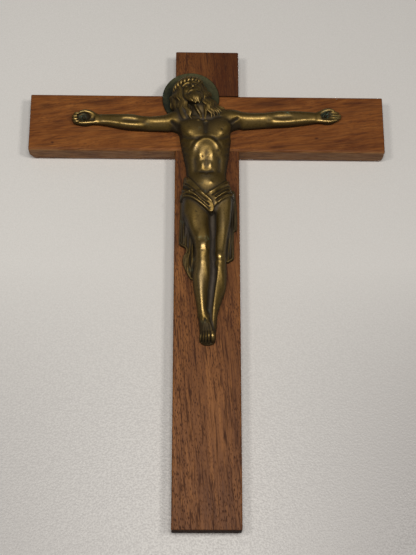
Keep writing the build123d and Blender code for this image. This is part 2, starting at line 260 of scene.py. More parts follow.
    # ---- modelling on the surface --------------------------------------
    def stroke(self, pts, width, lift, dmin=-1.0, dmax=30.0, taper=0.25, n=8):
        """Raises (lift > 0) or cuts the surface along a line of (x, z) points."""
        c = curve(np.asarray(pts, float), n)
        w = np.asarray(width, float) if np.ndim(width) else np.full(2, float(width))
        s = np.r_[0, np.cumsum(np.hypot(*np.diff(c, axis=0).T))]
        s /= s[-1]
        m = 3.2 * w.max()
        lo = [c[:, 0].min() - m, max(dmin, -1.0), c[:, 1].min() - m]
        hi = [c[:, 0].max() + m, min(dmax, HI[1]), c[:, 1].max() + m]
        sl, x, d, z = self.part(lo, hi)
        x2, z2 = x[:, 0, :], z[:, 0, :]
        best = np.full(np.broadcast(x2, z2).shape, 1e6, np.float32)
        at = np.zeros_like(best)
        for i in range(len(c) - 1):
            ax, az = c[i]
            bx, bz = c[i + 1] - c[i]
            t = np.clip(((x2 - ax) * bx + (z2 - az) * bz) / (bx * bx + bz * bz + 1e-9), 0, 1)
            q = (x2 - ax - t * bx) ** 2 + (z2 - az - t * bz) ** 2
            nearer = q < best
            best = np.where(nearer, q, best)
            at = np.where(nearer, s[i] + (s[i + 1] - s[i]) * t, at)
        ww = np.interp(at, np.linspace(0, 1, len(w)), w)
        if taper > 0:
            fade = np.clip(np.minimum(at, 1 - at) / taper, 0, 1)
            fade = fade * fade * (3 - 2 * fade)
        else:
            fade = 1.0
        g = (np.exp(-best / (ww * ww)) * fade * lift).astype(np.float32)
        gd = np.ones_like(d)
        if dmin > -1:
            gd = gd * np.clip((d - dmin) / 1.0, 0, 1)
        if dmax < 30:
            gd = gd * np.clip((dmax - d) / 1.0, 0, 1)
        self.f[sl] -= g[:, None, :] * gd

    def swell(self, x0, z0, rx, rz, lift, turn=0.0, dmin=2.0):
        """Raises or sinks a soft oval patch of the surface."""
        m = 2.6 * max(rx, rz)
        sl, x, d, z = self.part([x0 - m, dmin, z0 - m], [x0 + m, HI[1], z0 + m])
        c, s = np.cos(np.radians(turn)), np.sin(np.radians(turn))
        u = (x - x0) * c + (z - z0) * s
        w = -(x - x0) * s + (z - z0) * c
        g = np.exp(-((u / rx) ** 2) - (w / rz) ** 2) * lift
        self.f[sl] -= g * np.clip((d - dmin) / 1.5, 0, 1)


def poly_field(x, z, pts):
    """Signed distance to a closed outline of (x, z) points, negative inside."""
    p = np.asarray(pts, float)
    best = np.full(np.broadcast(x, z).shape, 1e6)
    inside = np.zeros(best.shape, bool)
    for (ax, az), (bx, bz) in zip(p, np.roll(p, -1, 0)):
        ex, ez = bx - ax, bz - az
        t = np.clip(((x - ax) * ex + (z - az) * ez) / (ex * ex + ez * ez + 1e-12), 0, 1)
        best = np.minimum(best, (x - ax - t * ex) ** 2 + (z - az - t * ez) ** 2)
        if bz != az:
            cross = ((az > z) != (bz > z)) & (x < ax + (z - az) * ex / ez)
            inside ^= cross
    s = np.sqrt(best)
    return np.where(inside, -s, s).astype(np.float32)


def smooth_outline(pts, n=5):
    p = np.asarray(pts, float)
    c = curve(np.vstack([p[-2:], p, p[:2]]), n)
    return c[2 * n : -2 * n]


# =====================================================================
# The corpus
# =====================================================================
def sculpt():
    c = Clay()

    # ---- legs -----------------------------------------------------------
    # the left leg lies behind, the right leg (viewer's left) in front
    c.loft_z(
        [
            (-84.0, 8.6, 6.6, 4.6, 7.6),
            (-90.0, 9.6, 5.5, 4.8, 7.5),
            (-95.0, 9.7, 5.0, 5.0, 7.3),
            (-100.5, 9.5, 4.7, 5.2, 7.1),
            (-107.0, 8.9, 4.1, 5.4, 6.9),
            (-112.5, 8.1, 3.9, 5.7, 6.7),
            (-119.0, 7.6, 3.7, 6.1, 6.6),
            (-124.5, 7.6, 3.6, 6.4, 6.5),
            (-129.0, 8.1, 3.4, 5.8, 5.9),
            (-136.0, 8.2, 3.5, 4.8, 6.0),
            (-143.0, 7.3, 3.6, 4.3, 5.8),
            (-150.0, 5.8, 3.0, 4.0, 5.2),
            (-156.0, 4.5, 2.4, 4.0, 4.4),
            (-162.0, 3.6, 2.2, 3.8, 3.8),
            (-168.0, 3.4, 2.0, 3.2, 3.0),
        ],
        0.8,
        ((-150, 1.80), (-133, 1.80), (-127, 1.95), (-121, 2.3), (-112, 2.9), (-94, 2.9)),
        skew=((-162, 0.0), (-157, -0.28), (-150, -0.5), (-143, -0.6), (-136, -0.6), (-130, -0.42), (-125, 0.0)),
    )
    c.loft_z(
        [
            (-84.0, -6.6, 8.0, 4.6, 7.8),
            (-90.0, -6.5, 8.5, 4.8, 7.9),
            (-96.0, -6.6, 8.2, 5.2, 7.8),
            (-102.5, -5.5, 6.9, 5.7, 7.6),
            (-109.0, -3.9, 6.0, 6.3, 7.4),
            (-115.0, -2.9, 5.1, 6.9, 7.2),
            (-120.0, -2.65, 4.6, 7.2, 7.0),
            (-125.0, -2.55, 4.9, 6.7, 6.6),
            (-130.0, -2.45, 5.4, 5.9, 6.6),
            (-136.0, -3.0, 5.6, 5.5, 6.6),
            (-142.5, -3.25, 4.85, 5.2, 6.4),
            (-150.0, -3.1, 3.85, 5.2, 5.7),
            (-156.0, -3.0, 3.0, 5.2, 4.9),
            (-161.0, -2.3, 2.8, 5.2, 4.3),
        ],
        0.5,
        ((-130, 1.9), (-114, 2.4)),
    )
    # the casting's web between the legs
    sl, x, d, z = c.part([-6, -1, -162], [12, 9, -90])
    web = poly_field(x[:, 0, :], z[:, 0, :], [(-2, -92), (8, -92), (8, -120), (6, -145), (3.5, -160), (-2, -160), (-2, -130)])
    c.union(sl, smooth_max(d - 6.2, web[:, None, :] + 0 * d, 0.8).astype(np.float32), 2.0)
    # kneecaps
    c.blob((-2.7, 11.7, -117.0), (2.5, 2.5, 2.7), 1.8)
    c.blob((-3.2, 11.2, -122.9), (1.5, 1.7, 2.1), 1.8)
    c.blob((7.0, 10.6, -123.8), (2.2, 2.3, 2.6), 1.8)
    c.blob((5.9, 9.2, -128.6), (1.3, 1.5, 2.1), 2.2)
    # shin ridges
    shin_l = [(-3.3, -122.5), (-3.9, -130.1), (-4.8, -136.2), (-4.6, -144.7), (-3.9, -150.8), (-2.5, -157.2), (-1.2, -161.4)]
    shin_r = [(6.2, -127.4), (6.4, -130.6), (5.9, -137.0), (5.0, -143.9), (4.1, -151.2), (3.6, -157.4)]
    c.stroke(shin_l, 2.5, 0.70, 6, taper=0.15)
    c.stroke(shin_r, 1.3, 0.20, 6, taper=0.15)
    # thigh muscles
    c.swell(-8.2, -97.0, 3.2, 12.0, 0.45, -8)
    c.swell(-1.4, -109.0, 2.4, 7.5, 0.6, 4)
    c.swell(9.2, -101.0, 1.7, 13.0, 0.55, 2)
    c.swell(-5.6, -112.5, 1.7, 5.5, 0.35, -10)
    # calves
    c.swell(-7.0, -136.0, 1.5, 7.0, 0.40, -4)
    c.swell(0.0, -133.0, 1.6, 6.0, 0.45, 6)
    c.swell(9.4, -138.0, 1.4, 7.0, 0.40, 8)
    # hollows beside and under the kneecaps
    c.stroke([(-5.9, -114.6), (-5.7, -117.6), (-4.9, -121.0)], 0.8, -0.40, 5)
    c.stroke([(0.5, -114.8), (0.4, -117.6), (-0.3, -121.0)], 0.8, -0.40, 5)
    c.stroke([(-4.6, -120.2), (-2.9, -120.7), (-1.0, -120.1)], 1.1, -0.16, 5)
    c.stroke([(4.7, -122.4), (4.7, -124.8), (5.4, -127.2)], 0.7, -0.35, 4)
    c.stroke([(9.6, -122.4), (9.5, -124.8), (8.8, -127.4)], 0.7, -0.35, 4)

    # feet: the right one laid over the left
    c.tube([(3.5, 3.6, -158.0), (3.3, 3.4, -166.0), (3.2, 2.6, -172.0)], [2.1, 2.1, 1.9], 0.9)
    c.loft_z(
        [
            (-157.0, -2.6, 2.9, 5.4, 4.6),
            (-161.5, -1.7, 3.2, 5.6, 4.2),
            (-165.5, -0.8, 3.9, 5.0, 4.3),
            (-169.5, 0.0, 4.5, 4.0, 3.8),
            (-172.6, 0.3, 4.4, 3.0, 2.9),
            (-174.6, 0.3, 4.0, 2.2, 2.0),
        ],
        1.0,
        cap=1.0,
    )
    # ankle bones
    c.blob((-4.3, 5.4, -159.6), (1.2, 1.6, 1.7), 1.2)
    c.blob((0.5, 6.4, -160.4), (1.1, 1.4, 1.6), 1.2)
    # toes, the big one on the right, bent down to the wood
    c.blob((0.3, 1.0, -174.0), (4.5, 1.7, 2.5), 0.8)
    for x, z, r, up in (
        (3.1, -173.7, 1.6, 4.7),
        (1.0, -174.6, 1.15, 4.6),
        (-0.75, -174.8, 1.08, 4.4),
        (-2.35, -174.6, 1.0, 4.0),
        (-3.7, -174.0, 0.9, 3.5),
    ):
        c.tube([(x * 0.90, up + 0.9, -169.0), (x * 0.98, up + 0.9, -171.6), (x * 1.02, up - 0.4, -173.4), (x * 1.02, up - 1.8, z)], [r * 0.75, r, r * 1.02, r * 0.95], 0.15)
    for x in (2.0, 0.15, -1.6, -3.1):
        c.stroke([(x * 0.88, -169.2), (x * 0.97, -171.8), (x, -175.4)], 0.30, -0.75, 1.5, taper=0.12)
    # sinews of the instep
    for pts in (
        [(-1.6, -163.6), (-2.3, -166.6), (-3.1, -170.8)],
        [(-1.0, -163.8), (-0.9, -166.8), (-1.4, -170.8)],
        [(-0.3, -163.8), (0.5, -166.8), (0.8, -170.8)],
        [(0.4, -163.4), (2.0, -165.8), (3.2, -170.0)],
    ):
        c.stroke(pts, 0.55, 0.42, 3.0)
    c.hollow((-1.3, 10.6, -162.9), (1.7, 1.5, 1.2), 0.5)

    # ---- trunk ------------------------------------------------------------
    trunk = [
        (-25.0, -3.0, 6.0, 4.0, 5.0),
        (-29.5, -2.6, 14.0, 3.6, 6.2),
        (-33.0, -2.2, 16.2, 3.4, 7.8),
        (-38.0, -1.6, 16.3, 3.2, 9.9),
        (-44.0, -1.2, 16.0, 3.0, 11.5),
        (-51.0, -0.9, 14.9, 3.0, 11.9),
        (-58.4, -0.6, 13.7, 3.0, 10.6),
        (-64.0, -0.55, 12.7, 3.0, 9.3),
        (-69.2, -0.55, 12.2, 3.0, 8.6),
        (-75.0, -0.2, 12.8, 3.2, 9.0),
        (-82.0, 0.3, 14.3, 3.4, 9.4),
        (-90.0, 0.4, 14.4, 3.4, 9.4),
        (-95.0, 0.6, 11.0, 3.2, 8.0),
    ]
    c.loft_z(trunk, 1.6, 2.25)
    # pectorals
    c.blob((-10.0, 9.4, -39.4), (7.2, 4.4, 6.1), 4.0)
    c.blob((8.2, 9.4, -39.0), (7.0, 4.4, 6.1), 4.0)
    c.stroke([(-1.5, -34.5), (-1.3, -39.0), (-0.9, -47.0)], 1.8, -0.75, 6)
    c.stroke([(-16.6, -43.4), (-12.8, -46.6), (-7.6, -47.8), (-3.0, -46.6)], 1.2, -0.7, 5)
    c.stroke([(15.0, -42.4), (10.6, -46.4), (5.6, -48.0), (1.0, -46.6)], 1.2, -0.7, 5)
    c.swell(-11.2, -43.2, 2.8, 2.5, 0.45, 20)
    c.swell(8.6, -43.6, 2.6, 2.3, 0.45, -20)
    c.blob((-9.4, 13.4, -41.6), (0.6, 0.5, 0.6), 0.4)
    c.blob((8.9, 13.0, -41.4), (0.6, 0.5, 0.6), 0.4)
    # costal arch and the belly it frames
    c.stroke([(-10.2, -58.6), (-8.9, -55.0), (-6.6, -51.4), (-3.8, -49.1), (-0.7, -48.3), (2.2, -49.0), (4.9, -51.2), (7.0, -54.8), (8.2, -58.4)], 1.5, 0.72, 5, taper=0.25)
    c.stroke([(-11.4, -56.4), (-10.4, -53.4), (-8.0, -49.8), (-4.6, -47.6), (-0.5, -46.9), (3.4, -47.6), (6.4, -50.0), (8.6, -53.2), (9.6, -56.4)], 1.1, -0.42, 5, taper=0.25)
    c.swell(-0.6, -53.0, 5.6, 4.0, 0.75)
    c.swell(-0.6, -58.0, 4.6, 5.0, 0.4)
    # dents at the ends of the arch's top
    c.swell(-5.7, -48.8, 1.3, 1.0, -0.45)
    c.swell(5.0, -49.5, 1.3, 1.0, -0.45)
    # the straight belly muscle in two rows, and the hollow flanks beside it
    for x, z, rx, rz, up in (
        (-4.7, -59.0, 1.7, 3.2, 0.75),
        (2.7, -58.8, 1.7, 3.4, 0.75),
        (-3.0, -65.0, 1.6, 2.8, 0.85),
        (1.6, -65.0, 1.6, 2.8, 0.85),
    ):
        c.swell(x, z, rx, rz, up)
    c.stroke([(-0.9, -54.0), (-0.8, -60.0), (-0.7, -67.4)], 0.8, -0.30, 6)
    c.stroke([(-5.4, -62.4), (-0.8, -62.0), (3.8, -62.2)], 0.7, -0.18, 6)
    c.stroke([(-6.4, -68.8), (-0.7, -69.8), (5.2, -68.6)], 1.0, -0.85, 6)
    c.stroke([(-7.6, -57.8), (-7.2, -64.0), (-6.7, -71.4)], 1.8, -0.70, 5)
    c.stroke([(7.0, -57.8), (7.0, -64.0), (6.6, -71.4)], 1.8, -0.70, 5)
    c.swell(-10.2, -65.5, 2.0, 6.0, 0.12, -4)
    c.swell(10.1, -65.2, 2.0, 6.0, 0.12, 4)
    c.swell(-0.6, -74.2, 6.4, 5.2, 1.60)
    c.swell(2.4, -76.9, 1.3, 1.2, 0.40)
    c.stroke([(-2.0, -70.6), (-0.7, -71.0), (0.8, -70.6)], 0.7, -0.7, 6, taper=0.35)
    # groins
    c.stroke([(-12.5, -73.5), (-8.4, -78.8), (-4.0, -85.0)], 1.2, -0.75, 5)
    c.stroke([(12.0, -73.5), (8.8, -78.8), (5.4, -85.0)], 1.2, -0.75, 5)
    # ribs under the skin of the flanks
    for i, z in enumerate((-50.2, -53.8, -57.6)):
        c.stroke([(-16.6 + i * 0.9, z + 2.2), (-13.6 + i * 0.5, z + 0.4), (-11.2 - i * 0.1, z - 1.6)], 0.9, -0.24, 1.0)
        c.stroke([(14.8 - i * 0.6, z + 2.4), (12.4 - i * 0.4, z + 0.6), (10.2 + i * 0.2, z - 1.4)], 0.9, -0.24, 1.0)
    # wound in the side
    c.groove([(6.6, 13.9, -55.8), (8.0, 13.2, -56.8)], 0.5, 0.3)

    # ---- shoulders and arms --------------------------------------------------
    c.tube([(-4.0, 7.0, -24.5), (-9.5, 6.4, -28.6), (-17.5, 5.6, -30.4)], [4.0, 3.7, 3.4], 2.5)
    c.tube([(-1.0, 7.0, -24.5), (6.0, 6.4, -27.4), (13.5, 5.6, -28.8)], [4.0, 3.7, 3.4], 2.5)
    c.loft_x(
        [
            (-12.0, -34.6, 7.8, 5.0, 6.0),
            (-17.0, -33.8, 7.4, 4.8, 5.7),
            (-21.5, -33.1, 6.2, 4.6, 5.2),
            (-26.0, -33.3, 5.2, 4.4, 4.8),
            (-31.0, -33.5, 4.75, 4.2, 4.5),
            (-36.5, -33.6, 4.5, 4.0, 4.2),
            (-41.5, -33.3, 4.45, 3.9, 4.0),
            (-47.0, -32.8, 4.65, 3.8, 4.1),
            (-53.0, -32.2, 4.5, 3.7, 3.9),
            (-60.0, -31.3, 3.95, 3.4, 3.4),
            (-65.5, -30.7, 3.5, 3.1, 2.9),
            (-70.5, -30.3, 3.4, 2.9, 2.5),
        ],
        2.0,
        ((-70, 2.3), (-60, 2.7), (-48, 3.3), (-41, 3.0), (-36, 2.3), (-22, 2.2), (-16, 2.1)),
        ridge=[(-46.0, -33.8, 7.9), (-36.5, -33.9, 8.1), (-31.0, -34.3, 8.5), (-26.0, -34.5, 9.0), (-20.0, -34.4, 10.2), (-12.0, -34.6, 13.0)],
    )
    c.loft_x(
        [
            (9.0, -33.5, 7.6, 5.0, 6.0),
            (13.5, -32.3, 7.4, 4.8, 5.7),
            (18.0, -31.3, 6.4, 4.6, 5.2),
            (23.0, -31.2, 5.5, 4.4, 4.8),
            (29.7, -31.0, 5.0, 4.2, 4.6),
            (38.0, -30.3, 4.75, 4.0, 4.3),
            (46.0, -29.6, 4.95, 3.9, 4.2),
            (52.0, -29.2, 4.8, 3.8, 4.1),
            (58.0, -28.8, 4.5, 3.6, 3.7),
            (64.0, -28.3, 3.95, 3.3, 3.2),
            (68.0, -28.0, 3.5, 3.1, 2.9),
            (72.0, -27.6, 3.4, 2.9, 2.5),
        ],
        2.0,
        ((12, 2.1), (18, 2.2), (35, 2.3), (41, 2.8), (50, 3.0), (60, 2.7), (70, 2.3)),
        ridge=[(47.0, -30.8, 8.1), (38.0, -31.0, 8.2), (29.7, -31.6, 8.6), (23.0, -31.6, 9.05), (17.0, -31.2, 10.3), (9.0, -32.0, 13.0)],
    )
    # deltoids
    c.blob((-19.4, 5.3, -30.4), (5.6, 4.3, 3.8), 2.8)
    c.blob((15.2, 5.3, -29.1), (5.6, 4.3, 3.8), 2.8)
    # the muscles and the sharp lower edge of the forearms
    c.blob((-48.6, 5.2, -30.4), (5.4, 2.2, 1.9), 1.8)
    c.blob((46.6, 5.4, -27.6), (5.6, 2.2, 2.0), 1.8)
    c.tube([(-39.0, 5.2, -35.2), (-44.0, 5.8, -35.7), (-50.0, 5.7, -35.4), (-56.0, 5.0, -34.2), (-62.0, 4.4, -33.1), (-68.0, 4.0, -32.7), (-73.0, 3.7, -32.9), (-78.0, 3.4, -33.1), (-81.6, 3.0, -32.8)], [1.2, 1.5, 1.5, 1.3, 1.1, 1.0, 1.2, 1.2, 1.0], 1.3)
    c.tube([(38.0, 5.4, -32.2), (44.0, 6.0, -32.8), (50.0, 5.9, -32.7), (56.0, 5.3, -31.8), (61.0, 4.8, -30.9), (66.5, 4.3, -30.3), (71.5, 4.0, -30.4), (77.0, 3.5, -30.3), (81.2, 3.0, -29.3)], [1.2, 1.5, 1.5, 1.3, 1.1, 1.0, 1.2, 1.2, 1.0], 1.3)
    c.stroke([(-41.5, -33.2), (-47.0, -32.9), (-54.0, -32.2)], 1.0, -0.45, 3)
    c.stroke([(40.5, -30.2), (47.0, -30.2), (54.5, -29.4)], 1.0, -0.40, 3)
    c.stroke([(-37.8, -31.0), (-39.4, -33.0), (-40.6, -35.2)], 1.8, -0.20, 3)
    c.stroke([(37.4, -28.0), (39.2, -30.0), (40.6, -32.4)], 1.8, -0.20, 3)
    # the bend of the wrist
    c.stroke([(-67.2, -26.6), (-67.6, -30.4), (-67.4, -34.6)], 1.2, -0.25, 0.5)
    c.stroke([(68.6, -24.4), (69.0, -28.0), (68.8, -32.0)], 1.2, -0.25, 0.5)
    # the fold from the chest to the arm, and the armpit under it
    c.stroke([(-23.3, -33.4), (-19.6, -34.0), (-16.6, -36.6), (-14.8, -40.4), (-14.0, -44.0)], 1.6, 0.15, 4)
    c.stroke([(20.4, -31.0), (16.8, -32.8), (14.2, -35.4), (12.5, -38.6), (11.7, -42.0)], 1.6, 0.15, 4)
    c.stroke([(-25.0, -37.4), (-21.6, -37.8), (-18.8, -39.8), (-17.2, -42.8), (-16.8, -47.0)], 2.0, -1.20, 1)
    c.stroke([(23.0, -35.2), (19.6, -35.8), (17.2, -37.8), (15.4, -40.8), (14.6, -45.0)], 2.0, -1.20, 1)
    c.stroke([(-23.6, -33.6), (-20.3, -36.1), (-17.5, -38.9)], 0.8, -0.75, 3)
    c.stroke([(20.4, -31.0), (15.8, -33.6), (12.5, -36.4)], 0.8, -0.75, 3)
    # streaks of sinew along the arms
    c.stroke([(-21.0, -34.4), (-28.0, -34.4), (-37.0, -34.2)], 1.0, 0.12, 4, taper=0.3)
    c.stroke([(-40.0, -35.3), (-47.5, -35.6), (-54.5, -34.5), (-61.0, -33.3), (-68.0, -32.7)], 1.1, 0.18, 3)
    c.stroke([(18.0, -31.4), (27.0, -31.6), (38.0, -31.4)], 1.0, 0.12, 4, taper=0.3)
    c.stroke([(40.0, -32.3), (47.0, -32.8), (55.0, -32.0), (61.0, -30.9), (67.0, -30.3)], 1.1, 0.18, 3)

    # ---- hands -----------------------------------------------------------------
    # right hand (viewer's left): cupped, the thumb above
    c.blob((-76.4, 1.7, -29.8), (7.2, 2.5, 4.7), 1.0)
    c.blob((-71.6, 3.0, -28.6), (3.2, 1.9, 2.4), 1.0)
    c.hollow((-77.0, 5.4, -29.4), (4.2, 3.2, 2.6), 0.6)
    for z0, tip in ((-27.3, -0.3), (-29.2, 0.7), (-31.1, 0.6), (-32.8, -0.3)):
        c.tube(
            [(-79.4, 1.7, z0), (-82.2 - tip, 2.2, z0 + 0.1), (-83.1 - tip, 3.5, z0 + 0.15), (-82.3 - tip, 4.5, z0 + 0.2), (-80.9 - tip, 4.6, z0 + 0.25)],
            [1.1, 1.05, 1.0, 0.95, 0.75],
            0.35,
        )
    c.tube([(-70.0, 3.4, -28.2), (-72.6, 4.0, -26.4), (-76.4, 4.5, -25.5), (-79.4, 4.2, -25.9)], [1.6, 1.45, 1.2, 0.9], 0.7)
    # left hand (viewer's right): open, the fingers laid together
    c.blob((75.6, 1.7, -27.0), (7.0, 2.5, 4.7), 1.0)
    c.blob((71.2, 3.0, -25.9), (3.2, 1.9, 2.5), 1.0)
    c.hollow((74.4, 5.4, -26.4), (3.4, 3.1, 2.2), 0.6)
    for z0, z1, x1 in ((-24.3, -24.3, 82.4), (-26.1, -26.0, 83.8), (-27.9, -27.6, 83.6), (-29.5, -29.0, 82.2)):
        c.tube([(76.4, 2.3, z0), (79.0, 3.2, z0 * 0.6 + z1 * 0.4), (81.0, 3.0, z0 * 0.3 + z1 * 0.7), (x1, 2.5, z1)], [1.1, 1.05, 0.98, 0.8], 0.2)
    c.tube([(70.2, 3.4, -25.8), (72.8, 4.0, -24.0), (76.2, 4.3, -22.9), (79.2, 3.9, -23.1)], [1.6, 1.45, 1.2, 0.9], 0.7)

    # pits left by the casting
    for x, z, rx, rz, deep, _ in PITS:
        c.swell(x, z, rx, rz, -deep)

    # ---- loincloth ------------------------------------------------------------------
    # a layer over the hips, cut to the two bands that cross at the front
    sl, x, d, z = c.part([-20, -1, -100], [21, 19, -68])
    body = c.f[sl].copy()
    left = smooth_outline(
        [(-19.5, -70.4), (-12.9, -71.4), (-8.2, -77.0), (-3.6, -82.6), (1.0, -87.4), (3.6, -91.6), (4.0, -94.2), (3.2, -95.9), (1.7, -96.5), (-2.4, -93.2), (-8.6, -88.0), (-13.0, -86.0), (-19.5, -85.2)]
    )
    right = smooth_outline(
        [(20.0, -72.6), (13.0, -73.0), (7.0, -78.6), (0.8, -83.8), (-2.2, -86.0), (0.4, -91.4), (3.4, -93.4), (5.4, -91.6), (10.0, -87.2), (14.4, -85.2), (20.0, -84.2)]
    )
    for outline, thick in ((right, 1.2), (left, 1.8)):
        mask = poly_field(x[:, 0, :], z[:, 0, :], outline)[:, None, :]
        layer = smooth_max(body - thick, mask + 0 * body, 0.8)
        c.union(sl, layer, 0.3)
    # folds: valleys, then the rolled hems
    for pts, w, up in (
        ([(-13.4, -72.6), (-10.3, -76.2), (-4.3, -83.4), (1.0, -88.6), (3.6, -91.6)], 0.85, 0.70),
        ([(-15.4, -76.6), (-12.8, -79.2), (-10.4, -81.8)], 0.80, -1.30),
        ([(-9.6, -81.6), (-8.2, -83.2), (-4.1, -87.8), (1.4, -92.8)], 0.55, -1.15),
        ([(-15.4, -81.2), (-9.0, -84.6), (-3.6, -89.6), (1.6, -94.2)], 0.60, 0.50),
        ([(-15.0, -83.7), (-7.2, -87.1), (-2.2, -91.4), (2.0, -94.9)], 0.50, -1.15),
        ([(-17.0, -85.0), (-10.3, -86.9), (-4.1, -91.2), (1.8, -95.7)], 0.75, 0.80),
        ([(13.6, -75.4), (6.5, -80.6), (0.6, -84.6)], 0.85, 0.70),
        ([(14.0, -78.8), (9.0, -82.6), (4.2, -86.9)], 0.60, -1.25),
        ([(14.6, -80.8), (9.4, -84.5), (4.4, -88.2)], 0.55, 0.50),
        ([(15.0, -82.4), (9.6, -85.6), (4.6, -89.2)], 0.50, -1.15),
        ([(16.6, -84.4), (10.2, -87.5), (5.2, -91.0)], 0.75, 0.80),
        ([(-16.4, -78.4), (-13.6, -81.4), (-10.6, -83.4)], 0.55, 0.45),
        ([(-14.6, -74.6), (-10.6, -79.0), (-5.2, -85.2), (0.6, -90.4)], 0.45, -0.75),
        ([(13.8, -77.0), (7.8, -81.8), (2.2, -86.2)], 0.42, -0.85),
        ([(15.4, -83.6), (10.0, -86.6), (5.0, -90.2)], 0.40, -0.55),
    ):
        c.stroke(pts, w, up, 3.0, taper=0.12)

    # ---- loose ends of the cloth beside the legs -----------------------------------------
    sl, x, d, z = c.part([-20, -1, -138], [21, 8, -78])
    folds = (
        0.50 * np.sin((x + 0.10 * (z + 95)) * 1.55)
        + 0.30 * np.sin((x - 0.06 * (z + 100)) * 3.1 + 1.0)
    )
    for outline, top in (
        (
            [(-13.4, -75.0), (-15.4, -79.0), (-16.3, -85.0), (-16.6, -96.0), (-16.9, -106.0), (-17.2, -111.6), (-16.2, -114.0), (-12.8, -115.8), (-11.8, -118.6), (-14.2, -121.0), (-14.8, -124.7), (-13.2, -129.4), (-11.6, -133.0), (-9.6, -135.6), (-7.4, -135.0), (-3.0, -128.0), (0.0, -110.0), (0.0, -84.0)],
            2.5,
        ),
        (
            [(13.6, -72.4), (15.8, -75.4), (17.3, -80.4), (18.1, -90.0), (18.3, -98.0), (18.1, -103.8), (16.5, -105.2), (16.1, -113.8), (16.2, -121.8), (14.4, -123.8), (12.0, -125.0), (8.0, -123.0), (2.0, -116.0), (1.0, -110.0), (1.0, -82.0)],
            2.4,
        ),
    ):
        mask = poly_field(x[:, 0, :], z[:, 0, :], smooth_outline(outline, 4))[:, None, :]
        sheet = smooth_max(d - (top + folds * np.clip(-mask / 2.0, 0, 1)), mask + 0 * d, 0.8)
        c.union(sl, sheet.astype(np.float32), 0.5)
    # curled edges
    c.tube([(-15.8, 2.2, -83.0), (-16.1, 2.4, -96.0), (-16.4, 2.4, -106.0), (-16.6, 2.6, -111.4)], [0.40, 0.42, 0.42, 0.42], 0.6)
    c.tube([(-16.6, 2.6, -111.4), (-15.6, 2.9, -113.6), (-12.9, 3.0, -115.4), (-12.2, 2.8, -118.4), (-13.9, 2.4, -121.0), (-14.2, 2.2, -125.0), (-12.4, 2.0, -130.0), (-9.8, 1.8, -134.6)], [0.42, 0.50, 0.50, 0.42, 0.40, 0.35, 0.35, 0.3], 0.5)
    c.tube([(-10.2, 2.2, -112.0), (-10.6, 2.5, -118.0), (-11.4, 2.3, -124.0), (-9.8, 2.0, -130.0)], [0.4, 0.5, 0.45, 0.35], 0.6)
    c.tube([(16.6, 1.8, -82.0), (17.4, 2.2, -92.0), (17.5, 2.3, -100.0), (17.4, 2.4, -103.6)], [0.3, 0.42, 0.45, 0.45], 0.6)
    c.tube([(15.9, 2.1, -106.0), (15.5, 2.2, -114.0), (15.6, 2.4, -121.4), (12.4, 2.3, -124.2)], [0.38, 0.42, 0.5, 0.5], 0.5)
    c.tube([(13.8, 2.4, -98.0), (13.4, 2.5, -108.0), (13.0, 2.3, -118.0)], [0.45, 0.6, 0.45], 0.6)

    # ---- neck ------------------------------------------------------------------------------
    c.tube([(-2.8, 6.2, -31.0), (-4.6, 7.2, -26.0), (-7.0, 8.0, -20.0)], [5.2, 4.4, 4.6], 2.0)
    c.tube([(-8.2, 11.4, -22.0), (-6.7, 11.7, -26.4), (-4.6, 11.5, -30.4), (-3.8, 11.6, -33.4)], [0.8, 1.0, 0.95, 0.8], 0.7)
    c.tube([(-2.2, 11.0, -21.0), (-1.4, 11.6, -25.4), (-1.1, 11.6, -30.0), (-1.8, 11.6, -33.4)], [0.8, 1.0, 0.95, 0.8], 0.7)
    c.swell(-5.6, -34.8, 1.1, 0.9, 0.7)
    c.swell(-1.0, -35.3, 1.1, 0.9, 0.7)
    # collar bones
    c.tube([(-4.6, 10.8, -33.8), (-9.5, 10.6, -32.2), (-16.0, 8.8, -30.6)], [0.8, 0.9, 0.8], 1.6)
    c.tube([(-1.0, 10.8, -33.8), (4.2, 10.6, -31.6), (11.5, 8.8, -29.4)], [0.8, 0.9, 0.8], 1.6)
    c.hollow((-2.8, 13.4, -34.4), (1.5, 1.6, 1.2), 0.8)

    head(c)

    # ---- flat back, seat of the nimbus --------------------------------------------------------
    sl, x, d, z = c.part(LO, HI)
    np.maximum(c.f, -d, out=c.f)
    sl, x, d, z = c.part([-30, -1, -34], [10, 4, 5])
    dish = (x + 10.3) ** 2 + (z + 14.3) ** 2
    seat = np.maximum(np.sqrt(dish) - 18.02, d - (1.0 + dish / (18.0**2)))
    c.carve(sl, seat.astype(np.float32), 0.0)
    # sockets of the nails
    for x0, z0, up, r in NAILS:
        sl, x, d, z = c.part([x0 - 4, -1, z0 - 4], [x0 + 4, 16, z0 + 4])
        rr = np.sqrt((x - x0) ** 2 + (z - z0) ** 2)
        c.carve(sl, np.maximum(rr - r, d - up).astype(np.float32), 0.0)
    return c


# nails: place, height of the shoulder under the head, half the shank
NAILS = ((-77.2, -29.6, 2.9, 0.8), (74.6, -26.5, 2.9, 0.8), (-1.3, -163.3, 9.0, 0.9))

# pits left by the casting: x, z, half width, half height, depth, how dark
PITS = (
    (-6.1, -48.9, 0.85, 0.50, 0.30, 0.85),
    (5.2, -49.4, 0.60, 0.80, 0.30, 0.85),
    (8.9, -41.5, 0.60, 0.65, 0.25, 0.75),
    (-3.1, -60.0, 0.55, 0.65, 0.22, 0.70),
    (6.9, -55.6, 0.75, 0.50, 0.25, 0.70),
    (-6.8, -96.1, 0.75, 0.60, 0.10, 1.05),
    (-6.3, -98.6, 0.60, 0.80, 0.10, 0.80),
    (-6.5, -100.9, 0.60, 0.70, 0.10, 0.95),
)

# The head has its own axes: u to the viewer's right, v forward, w up.
LEAN, YAW, PITCH = np.radians(17.0), np.radians(-7.0), np.radians(13.0)
HEAD_AT = np.array([-10.6, 8.4, -14.0])


